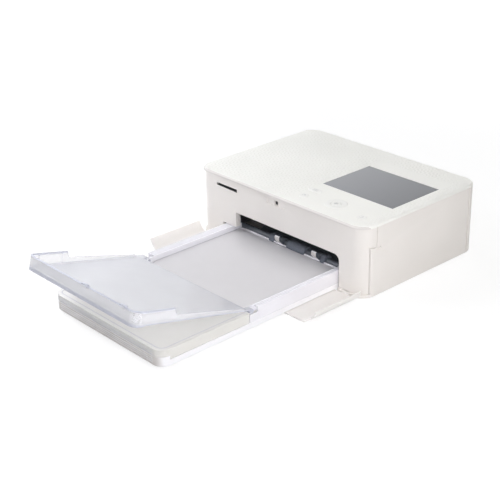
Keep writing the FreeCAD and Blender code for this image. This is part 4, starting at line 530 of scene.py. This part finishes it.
def fitFlap(p):
    # the left front corner is tight: each ray from the corner's middle runs out to a square of
    # half width R whose own corner has radius tight + (R - inner)
    local = toFlap(p)
    u, v = flapCorner["x"] - local[:, 0], flapCorner["along"] - local[:, 1]
    near = (u > flapCorner["past"]) & (v > flapCorner["past"])
    reach = np.hypot(u[near], v[near])
    full = np.where(reach > flapCorner["between"], flapCorner["outer"], flapCorner["inner"])
    du, dv = u[near] / reach, v[near] / reach
    r = flapCorner["tight"] + full - flapCorner["inner"]
    across = (du + dv) * (full - r)
    bend = across + np.sqrt(np.maximum(across ** 2 - 2 * (full - r) ** 2 + r ** 2, 0))
    flat = full / np.maximum(du, dv)
    out = np.where(np.minimum(du, dv) * flat <= full - r, flat, bend) * reach / full
    local[near, 0] = flapCorner["x"] - du * out
    local[near, 1] = flapCorner["along"] - dv * out
    p[:] = fromFlap(local)


fits = {"ink_door": fitDoor, "front_panel": fitPanel, "output_flap": fitFlap}


def softened(node, name, finish, slot, widthMm):
    # the node's own shape, its triangles merged to whole faces and its edges rounded off
    mesh = nodes[node].data.copy()
    work = bmesh.new()
    work.from_mesh(mesh)
    bmesh.ops.remove_doubles(work, verts=work.verts, dist=mergeWithin)
    if node in fits:
        work.to_mesh(mesh)
        points = np.empty(len(mesh.vertices) * 3)
        mesh.vertices.foreach_get("co", points)
        points = points.reshape(-1, 3) / mm
        fits[node](points)
        mesh.vertices.foreach_set("co", (points * mm).ravel())
        work.clear()
        work.from_mesh(mesh)
        bmesh.ops.remove_doubles(work, verts=work.verts, dist=mergeWithin)
    bmesh.ops.dissolve_limit(work, angle_limit=math.radians(edges["flatWithin"]),
                             verts=work.verts, edges=work.edges)
    work.to_mesh(mesh)
    work.free()
    smoothUnder(mesh, edges["over"])
    piece = newPiece(name, mesh, finish, bodyOf[node])
    addBevel(piece, widthMm)
    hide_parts(node)
    return piece


softPieces = [
    # node, piece, finish, slot, edge radius in mm
    ("base_cover", "baseCover", "case", "case_white", 0.12),
    ("body_shell", "bodyShell", "case", "case_white", 0.12),
    ("front_panel", "frontPanel", "case", "case_white", 0.35),
    ("ink_door", "inkDoor", "case", "case_white", 0.12),
    ("top_cover", "topCover", "top", "top_white", 0.2),
    ("front_door", "frontDoor", "doorInside", "case_white", 0.35),
    ("screen_window", "screenWindow", "screen", "screen_dark", 0.15),
    ("paper_fingers", "paperFingers", "tray", "case_white", 0.3),
    ("pickup_tyres", "pickupTyres", "blueRubber", "roller_rubber", 0.2),
    ("rubber_feet", "rubberFeet", "footRubber", "foot_rubber", 0.3),
    ("cassette_base", "cassetteBase", "tray", "tray_white", 0.3),
    ("paper_stack", "paperStack", "paper", "paper_white", 0.1),
    ("front_cover", "frontCover", "coverClear", "cover_clear", 0.3),
    ("rear_cover", "rearCover", "coverFrosted", "cover_clear", 0.3),
    ("output_flap", "outputFlap", "flap", "cover_clear", 0.3),
]
softMesh = {name: softened(node, name, *rest).data for node, name, *rest in softPieces}


def secondFinish(name, finish, picks):
    # the faces whose middle in mm and normal are picked get the second finish
    softMesh[name].materials.append(finishes[finish])
    for face in softMesh[name].polygons:
        face.material_index = int(picks(face.center / mm, face.normal))


split = {"coverFlat": 0.9, "coverFloor": 13.0, "topFlat": 0.97, "topFront": -0.35,
         "slotFront": 0.9, "fingerHub": -57.0}

# the rear cover's floor is frosted, its rails and sides are clear
secondFinish("rearCover", "rail", lambda at, normal: normal.z < split["coverFlat"]
             or at.z > split["coverFloor"])

# the top's rolled front edge is left matt by its mould, and painted darker as shade
secondFinish("topCover", "rim", lambda at, normal: normal.z < split["topFlat"]
             and normal.y < split["topFront"])

# the card slot's walls are painted black right up to the panel's face, a painted shade
secondFinish("frontPanel", "blackPlastic", lambda at, normal: abs(normal.y) < split["slotFront"]
             and panelFit["card"][0] < at.x < panelFit["card"][1]
             and panelFit["cardLow"][0] < at.z < panelFit["cardTop"])

# only the tips of the paper fingers are white, their hubs are grey
secondFinish("paperFingers", "greyAcetal", lambda at, normal: at.y > split["fingerHub"])
print("softened pieces", len(softMesh))

# Keys: crowned caps that close their gaps, each one skin lofted through its outlines. A place
# is x, y, half the length of the straight part and the radius, in mm

keys = {"top": 57.8, "flangeLow": 54.65, "flangeTop": 55.35, "flange": 0.8, "printFlange": 0.7,
        "grow": 0.13, "crown": 0.16, "stem": 1.4, "stemLow": 53.75, "round": 0.35, "steps": 72,
        "roll": (0.3, 0.6, 0.85, 1.0), "shares": (0.75, 0.5, 0.25, 0.06), "smooth": 40,
        "menu": (14.3, -37.0, 3.4, 2.9), "power": (15.2, -50.4, 0.0, 3.6),
        "back": (74.4, -50.4, 0.0, 3.6), "print": (44.0, -45.2, 0.0, 3.9)}
pad = {"inner": 4.3, "outer": 8.4, "growIn": 0.6, "crown": 0.1, "cornerIn": 0.3,
       "cornerDown": 0.25}


def stadiums(place, rows):
    # one ring for each row (half, radius, z): two half circles of the radius, half apart from
    # the middle along X
    half, radius, z = np.array(rows, float).T[:, :, None]
    turn = np.linspace(0, fullTurn, keys["steps"], endpoint=False)
    x = place[0] + half * np.sign(np.cos(turn)) + radius * np.cos(turn)
    return np.stack(np.broadcast_arrays(x, place[1] + radius * np.sin(turn), z), -1)


def placeKey(name, node, mesh):
    smoothUnder(mesh, keys["smooth"])
    piece = newPiece(name, mesh, "keyTop", bodyOf[node])
    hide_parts(node)


def keyCap(name, node, place, flange):
    # stem, flange, wall, a rim that rolls over a quarter turn by its roll steps, and a crown
    # z = top + crown (1 - share^2) over the shares of the outline
    half, radius = place[2:]
    out, high, roll = radius + keys["grow"], keys["top"], keys["round"]
    rows = [(0, keys["stem"], keys["stemLow"]), (0, keys["stem"], keys["flangeLow"]),
            (half, radius + flange, keys["flangeLow"]),
            (half, radius + flange, keys["flangeTop"]),
            (half, out, keys["flangeTop"]), (half, out, high - roll)]
    for turn in (step * math.pi / 2 for step in keys["roll"]):
        rows.append((half, out - roll * (1 - math.cos(turn)), high - roll * (1 - math.sin(turn))))
    rows += [(half * share, (out - roll) * share, high + keys["crown"] * (1 - share ** 2))
             for share in keys["shares"]]
    placeKey(name, node, loft(name, stadiums(place, rows)))


def padRing():
    # the section runs up the outer wall, over the ring's low crown and down the inner wall
    inner, outer = pad["inner"] - keys["grow"] * pad["growIn"], pad["outer"] + keys["grow"]
    high, roll, flange = keys["top"], keys["round"], outer + keys["flange"]
    cornerIn, corner = roll * pad["cornerIn"], high - roll * pad["cornerDown"]
    rows = [(inner, keys["flangeLow"]), (flange, keys["flangeLow"]), (flange, keys["flangeTop"]),
            (outer, keys["flangeTop"]), (outer, high - roll), (outer - cornerIn, corner),
            (outer - roll, high), ((inner + outer) / 2, high + pad["crown"]),
            (inner + roll, high), (inner + cornerIn, corner), (inner, high - roll),
            (inner, keys["flangeLow"])]
    rings = stadiums(keys["print"], [(0, radius, z) for radius, z in rows])
    placeKey("directionPad", "direction_pad", loft("directionPad", rings, False))


keyCap("menuKey", "menu_key", keys["menu"], keys["flange"])
keyCap("powerKey", "power_key", keys["power"], keys["flange"])
keyCap("backKey", "back_key", keys["back"], keys["flange"])
keyCap("printKey", "print_key", keys["print"], keys["printFlange"])
padRing()

# Icons: generic marks printed on the keys, thin skins that follow the crown. A bar is x, y,
# width and depth, an arc is radius, width and its two angles in degrees

icon = {"lift": 0.02, "thick": 0.03, "barGrid": (3, 9), "arcSteps": 33,
        "menu": {"bars": ((-2.3, 0.95, 4.6, 0.42), (-2.3, -0.2, 4.6, 0.42),
                          (-2.3, -1.35, 4.6, 0.42))},
        "print": {"bars": ((-1.7, -0.75, 3.4, 1.25), (-1.05, 0.75, 2.1, 0.75),
                           (-1.05, -1.6, 2.1, 0.6))},
        "power": {"arc": (1.35, 0.34, -50, 230), "bars": ((-0.17, 0.2, 0.34, 1.6),)},
        "back": {"arc": (1.2, 0.36, -120, 100), "bars": ((-1.5, 0.9, 1.5, 0.36),
                                                         (-1.5, -1.35, 1.3, 0.36))}}


def drawIcon(name, node, place, marks):
    # each mark is a grid of (x, y) points, lifted on to the key's crown as keyCap makes it
    rows, columns = icon["barGrid"]
    grids = []
    for x, y, width, depth in marks.get("bars", ()):
        grids.append(np.stack(np.meshgrid(np.linspace(x, x + width, columns),
                                          np.linspace(y, y + depth, rows)), -1))
    if "arc" in marks:
        radius, width, low, high = marks["arc"]
        turn = np.radians(np.linspace(low, high, icon["arcSteps"]))[:, None]
        edge = radius + width / 2 * np.array((-1, 1))
        grids.append(np.stack([edge * np.cos(turn), edge * np.sin(turn)], -1))
    corners, faces = [], []
    for grid in grids:
        at = sum(map(len, corners)) + np.arange(grid[..., 0].size).reshape(grid.shape[:2])
        faces += np.stack([at[:-1, :-1], at[:-1, 1:], at[1:, 1:], at[1:, :-1]],
                          -1).reshape(-1, 4).tolist()
        corners.append(grid.reshape(-1, 2))
    x, y = np.concatenate(corners).T
    share = np.clip(np.hypot(np.maximum(np.abs(x) - place[2], 0), y) / place[3], 0, 1)
    z = keys["top"] + keys["crown"] * (1 - share ** 2) + icon["lift"]
    mesh = bpy.data.meshes.new(name)
    mesh.from_pydata((np.stack([x + place[0], y + place[1], z], 1) * mm).tolist(), [], faces)
    piece = newPiece(name, mesh, "icon", bodyOf[node])
    solid = piece.modifiers.new("thickness", "SOLIDIFY")
    solid.thickness = icon["thick"] * mm


for key in ("menu", "power", "back", "print"):
    drawIcon(key + "Icon", key + "_key", keys[key], icon[key])
print("keys and icons ready")

# Cassette details: beads, ridges, catches and ribs moulded into the tray and clear covers

upwards, forwards = np.array((0.0, 0.0, 1.0)), np.array((0.0, -1.0, 0.0))
flapUp = fromFlap((0, 0, 1)) - fromFlap((0, 0, 0))
beadSection = {"steps": 7, "sunk": 0.15, "smooth": 50}
block = {"edge": 0.15, "smooth": 30}                   # catches and ribs: edge radius in mm


def runBead(name, path, up, size, finish, node):
    # a half round bead of a width and rise along a path: at each path point the section is
    # across width / 2 cos + up rise (sin - sunk)
    width, rise = size
    ahead = np.gradient(path, axis=0)
    ahead /= np.linalg.norm(ahead, axis=1)[:, None]
    side = np.cross(ahead, up)
    side /= np.linalg.norm(side, axis=1)[:, None]
    turn = np.linspace(0, math.pi, beadSection["steps"])[:, None]
    rings = (path[:, None] + side[:, None] * np.cos(turn) * width / 2
             + up * rise * (np.sin(turn) - beadSection["sunk"]))
    mesh = loft(name, rings)
    smoothUnder(mesh, beadSection["smooth"])
    piece = newPiece(name, mesh, finish, bodyOf[node])


def arc(x, y, radius, start, end, steps=9):
    # points (x + radius cos, y + radius sin) from the start angle to the end angle in degrees
    turn = np.radians(np.linspace(start, end, steps))
    return np.stack([x + radius * np.cos(turn), y + radius * np.sin(turn)], 1)


def joined(z, *runs):
    # runs of (x, y) points end to end at the height z, their shared ends kept once
    flat = np.concatenate([runs[0]] + [run[1:] for run in runs[1:]])
    return np.column_stack([flat, np.full(len(flat), z)])


cover = {"left": -58.5, "right": 65.0, "front": -232.0}
bead = {"inset": 3.1, "corner": 5.2, "high": 13.9, "rear": -154.0, "size": (0.7, 0.22)}


def coverPath():
    # along the right side, round the front corners and back along the left side
    left, right = cover["left"] + bead["inset"], cover["right"] - bead["inset"]
    front, r, rear = cover["front"] + bead["inset"], bead["corner"], bead["rear"]
    return joined(bead["high"], np.linspace((right, rear), (right, front + r), 9),
                  arc(right - r, front + r, r, 0, -90),
                  np.linspace((right - r, front), (left + r, front), 13),
                  arc(left + r, front + r, r, -90, -180),
                  np.linspace((left, front + r), (left, rear), 9))


runBead("coverBead", coverPath(), upwards, bead["size"], "bead", "front_cover")

# ridges along the tray's front wall, and two edges that show in the cover's
ridge = {"left": -49.5, "right": 56.0, "tray": (3.6, 5.1, 6.6), "traySize": (0.7, 0.45),
         "cover": (9.5, 11.3), "coverSize": (0.5, 0.3)}


def ridgePath(z):
    # straight along the front wall at the height z
    return np.array([(ridge[side], cover["front"], z) for side in ("left", "right")])


for count, z in enumerate(ridge["tray"]):
    runBead("trayRidge%d" % (count + 1), ridgePath(z), forwards, ridge["traySize"], "tray",
            "cassette_base")
for count, z in enumerate(ridge["cover"]):
    runBead("coverEdge%d" % (count + 1), ridgePath(z), forwards, ridge["coverSize"], "bead",
            "front_cover")

blockFaces = np.array([(3, 2, 1, 0), (4, 5, 6, 7), (0, 1, 5, 4), (1, 2, 6, 5), (2, 3, 7, 6),
                       (3, 0, 4, 7)])
catch = {"places": (((31.6, -175.4), (38.4, -172.6), 0.9), ((40.4, -158.7), (49.2, -156.4), 0.7)),
         "foot": 13.9, "slope": 0.12, "front": 0.25, "rear": 0.3, "rearRise": 0.25}


def wedge(name, low, high, rise):
    # a catch with a sloping back: steep towards the front, down to nearly nothing at the rear
    (x0, y0), (x1, y1), z = low, high, catch["foot"]
    slope = (x1 - x0) * catch["slope"]
    front, rear = y0 + catch["front"], y1 - catch["rear"]
    points = np.array([(x0, y0, z), (x1, y0, z), (x1, y1, z), (x0, y1, z),
                       (x0 + slope, front, z + rise), (x1 - slope, front, z + rise),
                       (x1 - slope, rear, z + rise * catch["rearRise"]),
                       (x0 + slope, rear, z + rise * catch["rearRise"])])
    mesh = closedMesh(name, points, blockFaces.tolist())
    smoothUnder(mesh, block["smooth"])
    piece = newPiece(name, mesh, "catch", bodyOf["front_cover"])
    addBevel(piece, block["edge"])


for count, place in enumerate(catch["places"]):
    wedge("coverCatch%d" % (count + 1), *place)

well = {"left": -49.0, "right": 58.6, "front": -151.6, "rear": -62.0, "corner": 7.0,
        "high": 12.6, "size": (0.8, 0.2)}
rail = {"x": (-57.9, -50.7, 60.7, 64.4), "front": -146.5, "rear": -57.2, "high": 16.2,
        "size": (0.6, 0.22)}
lip = {"left": -49.6, "right": 59.6, "y": -56.9, "bendFrom": -41.0, "bendOver": 9.0,
       "bend": 1.6, "size": (1.7, 0.9)}


def wellPath():
    # inside the left rail, round the front left corner and along the front of the well
    left, front, r = well["left"], well["front"], well["corner"]
    return joined(well["high"], np.linspace((left, well["rear"]), (left, front + r), 9),
                  arc(left + r, front + r, r, 180, 270),
                  np.linspace((left + r, front), (well["right"], front), 12))


def lipPath():
    # along the well's rear edge, bent forwards at its left end by the square of the way there
    x = np.linspace(lip["left"], lip["right"], 30)
    bend = lip["bend"] * np.maximum(0, (lip["bendFrom"] - x) / lip["bendOver"]) ** 2
    return np.stack([x, lip["y"] - bend, np.full_like(x, well["high"])], 1)


runBead("wellBead", wellPath(), upwards, well["size"], "bead", "rear_cover")
for count, x in enumerate(rail["x"]):
    path = np.linspace((x, rail["front"], rail["high"]), (x, rail["rear"], rail["high"]), 16)
    runBead("railBead%d" % (count + 1), path, upwards, rail["size"], "lip", "rear_cover")
runBead("rearLip", lipPath(), upwards, lip["size"], "lip", "rear_cover")

flapRib = {"at": (-95.6, -75.8), "walls": ((-57.0, 1), (63.5, -1)), "deep": 1.1, "half": 0.55,
           "sunk": 0.05, "levels": ((2.0, 0.0), (9.6, 0.2))}       # level: height, draft


def flapRibs():
    # four upright ribs inside the side walls, each thinner at its top by the draft
    corners = []
    for wall, inward in flapRib["walls"]:
        for along in flapRib["at"]:
            for z, draft in flapRib["levels"]:
                deep, half = flapRib["deep"] - draft, flapRib["half"] - draft
                across = wall + inward * np.array((-flapRib["sunk"], deep, deep, -flapRib["sunk"]))
                corners.append(np.stack([across, along + half * np.array((-1, -1, 1, 1)),
                                         np.full(4, z)], 1))
    ribs = len(corners) // 2
    faces = (blockFaces + 8 * np.arange(ribs)[:, None, None]).reshape(-1, 4).tolist()
    mesh = closedMesh("flapRibs", fromFlap(np.concatenate(corners)), faces)
    smoothUnder(mesh, block["smooth"])
    piece = newPiece("flapRibs", mesh, "flap", "output_flap")
    addBevel(piece, block["edge"])


skirt = {"low": -0.9, "high": 0.7, "thick": 1.4, "front": -103.0, "back": -94.0, "fade": 6.0,
         "least": 0.15, "roundLeft": 3.0, "roundRight": 8.0, "smooth": 40}


def skirtEdge(inset):
    # the front outline (x, along, low), whose low side rises to the least depth at both ends
    left, right = cover["left"] + inset, cover["right"] - inset
    front, back = skirt["front"] + inset, skirt["back"]
    rl, rr = skirt["roundLeft"] - inset, skirt["roundRight"] - inset
    edge = np.concatenate([[(left, back)], arc(left + rl, front + rl, rl, 180, 270),
                           arc(right - rr, front + rr, rr, -90, 0), [(right, back)]])
    share = np.clip((back - edge[:, 1]) / skirt["fade"], 0, 1)
    end = skirt["high"] - skirt["least"]
    return np.column_stack([edge, end + (skirt["low"] - end) * share])


def flapSkirt():
    # the flap's front wall runs on below its floor: a thin wall following the front outline
    outer, inner = skirtEdge(0.0), skirtEdge(skirt["thick"])
    outerTop, innerTop = (edge * (1, 1, 0) + (0, 0, skirt["high"]) for edge in (outer, inner))
    mesh = loft("flapSkirt", fromFlap(np.stack([outer, outerTop, innerTop, inner], 1)))
    smoothUnder(mesh, skirt["smooth"])
    piece = newPiece("flapSkirt", mesh, "flap", "output_flap")


flapRibs()
flapSkirt()
flapLine = {"x": (-54.5, 61.0), "rear": -8.5, "front": -93.0, "high": 2.0, "size": (0.6, 0.25)}
for count, x in enumerate(flapLine["x"]):
    path = np.linspace((x, flapLine["rear"], flapLine["high"]),
                       (x, flapLine["front"], flapLine["high"]), 24)
    runBead("flapBead%d" % (count + 1), fromFlap(path), flapUp, flapLine["size"], "flap",
            "output_flap")
print("cassette details ready")

# Stage, light and camera

stage = {"half": 6.0, "z": -0.00002, "hex": "#F7F7F7", "strength": 1.12,
         "nearGlow": 0.66, "farGlow": 1.0, "glowFrom": 0.32, "glowFull": 0.75}


def straightRays(tree):
    # 1 for rays from the camera and for rays mirrored or let through, else 0
    rays = addNode(tree, "ShaderNodeLightPath")
    either = addNode(tree, "ShaderNodeMath", {"operation": "MAXIMUM"},
                     {0: rays.outputs["Is Camera Ray"], 1: rays.outputs["Is Glossy Ray"]})
    return addNode(tree, "ShaderNodeMath", {"operation": "MAXIMUM"},
                   {0: either.outputs[0], 1: rays.outputs["Is Transmission Ray"]}).outputs[0]


def makeStage():
    # a pale floor that keeps the shadow near by and is plain white further out
    half, z = stage["half"], stage["z"]
    mesh = bpy.data.meshes.new("floor")
    mesh.from_pydata([(-half, -half, z), (half, -half, z), (half, half, z), (-half, half, z)],
                     [], [(0, 1, 2, 3)])
    material = bpy.data.materials.new("paleFloor")
    material.use_nodes = True
    tree = material.node_tree
    tree.nodes.clear()
    plain = addNode(tree, "ShaderNodeBsdfDiffuse", {"Color": toLinear(stage["hex"])})
    away = addNode(tree, "ShaderNodeVectorMath", {"operation": "LENGTH"},
                   {0: addNode(tree, "ShaderNodeTexCoord").outputs["Object"]})
    grow = addNode(tree, "ShaderNodeMapRange",
                   {"From Min": stage["glowFrom"], "From Max": stage["glowFull"],
                    "To Min": stage["nearGlow"], "To Max": stage["farGlow"]},
                   {"Value": away.outputs["Value"]})
    share = addNode(tree, "ShaderNodeMath", {"operation": "MULTIPLY"},
                    {0: grow.outputs[0], 1: straightRays(tree)})
    glow = addNode(tree, "ShaderNodeEmission", {"Strength": stage["strength"]})
    both = addNode(tree, "ShaderNodeMixShader",
                   links={0: share.outputs[0], 1: plain.outputs[0], 2: glow.outputs[0]})
    addNode(tree, "ShaderNodeOutputMaterial", links={"Surface": both.outputs[0]})
    mesh.materials.append(material)
    floor = bpy.data.objects.new("floor", mesh)
    bpy.context.scene.collection.objects.link(floor)


# unmirrored lamps stand so low that they would whiten the screen in views from the sides
light = {"ambient": 0.1, "aim": (0, -0.05, 0.02),
         "unmirrored": ("leftLow", "behindLow", "nearSide")}
lamps = {
    # places and sizes in metres, power in watts
    "over": {"at": (0.0, 0.1, 1.8), "size": 1.5, "power": 3.0, "tint": "#FFFFFF"},
    "rightHigh": {"at": (1.4, 0.3, 1.2), "size": 1.0, "power": 2.2, "tint": "#FFFDFA"},
    "left": {"at": (-1.6, 0.2, 0.9), "size": 1.0, "power": 3.2, "tint": "#F8F9FF"},
    "leftTop": {"at": (-0.6, 0.0, 0.8), "size": 0.5, "power": 0.6, "tint": "#FFFFFF"},
    "nearSide": {"at": (0.42, -0.38, 0.22), "size": 0.25, "power": 1.05, "tint": "#F8F7FC"},
    "side": {"at": (0.5, -0.2, 0.25), "size": 0.3, "power": 0.2, "tint": "#FAF9FC"},
    "rightNear": {"at": (0.45, -0.12, 0.6), "size": 0.3, "power": 1.2, "tint": "#FFFDFA"},
    "nearTop": {"at": (-0.32, -0.24, 0.35), "size": 0.25, "power": 0.9, "tint": "#FAFBFF"},
    "nearLeft": {"at": (-0.42, -0.42, 0.35), "size": 0.3, "power": 0.55, "tint": "#F4F5FF"},
    "leftLow": {"at": (-0.62, 0.02, 0.16), "size": 0.3, "power": 0.9, "tint": "#F8F9FF"},
    "behindLow": {"at": (-0.15, 0.62, 0.16), "size": 0.3, "power": 0.9, "tint": "#FFFFFF"},
}


def makeLight():
    # the world is dim on the object and white to the camera and in mirrors; round lamps aim at
    # the printer
    world = bpy.data.worlds.new("studio")
    bpy.context.scene.world = world
    world.use_nodes = True
    tree = world.node_tree
    tree.nodes.clear()
    strength = addNode(tree, "ShaderNodeMapRange", {"To Min": light["ambient"], "To Max": 1.0},
                       {"Value": straightRays(tree)})
    sky = addNode(tree, "ShaderNodeBackground", {"Color": (1, 1, 1, 1)},
                  {"Strength": strength.outputs[0]})
    addNode(tree, "ShaderNodeOutputWorld", links={"Surface": sky.outputs[0]})
    for name, lamp in lamps.items():
        data = bpy.data.lights.new(name, "AREA")
        data.shape = "DISK"
        data.size = lamp["size"]
        data.energy = lamp["power"]
        data.color = toLinear(lamp["tint"])[:3]
        item = bpy.data.objects.new(name, data)
        item.location = lamp["at"]
        item.visible_camera = False
        item.visible_glossy = name not in light["unmirrored"]
        aim = Vector(light["aim"]) - item.location
        item.rotation_euler = aim.to_track_quat("-Z", "Y").to_euler()
        bpy.context.scene.collection.objects.link(item)


# angles in degrees, lens and sensor in mm, the rest in metres
view = {"azimuth": 47.92, "height": 25.01, "roll": -1.12, "lens": 83.827, "sensor": 36,
        "near": 0.05, "far": 30, "at": (0.59366, -0.62885, 0.39386)}


def makeCamera():
    # back points from the object to the camera; roll turns right and up about it
    azimuth, height, roll = (math.radians(view[k]) for k in ("azimuth", "height", "roll"))
    back = Vector((math.cos(height) * math.sin(azimuth), -math.cos(height) * math.cos(azimuth),
                   math.sin(height)))
    right = Vector((math.cos(azimuth), math.sin(azimuth), 0))
    up = back.cross(right)
    turnedRight = math.cos(roll) * right + math.sin(roll) * up
    turnedUp = -math.sin(roll) * right + math.cos(roll) * up
    data = bpy.data.cameras.new("camera")
    data.sensor_width = view["sensor"]
    data.lens = view["lens"]
    data.clip_start = view["near"]
    data.clip_end = view["far"]
    camera = bpy.data.objects.new("camera", data)
    spin = Matrix((turnedRight, turnedUp, back)).transposed()
    camera.matrix_world = Matrix.Translation(view["at"]) @ spin.to_4x4()
    bpy.context.scene.collection.objects.link(camera)
    bpy.context.scene.camera = camera


makeStage()
makeLight()
makeCamera()
bpy.context.scene.view_settings.view_transform = "Standard"
print("stage, light and camera ready")
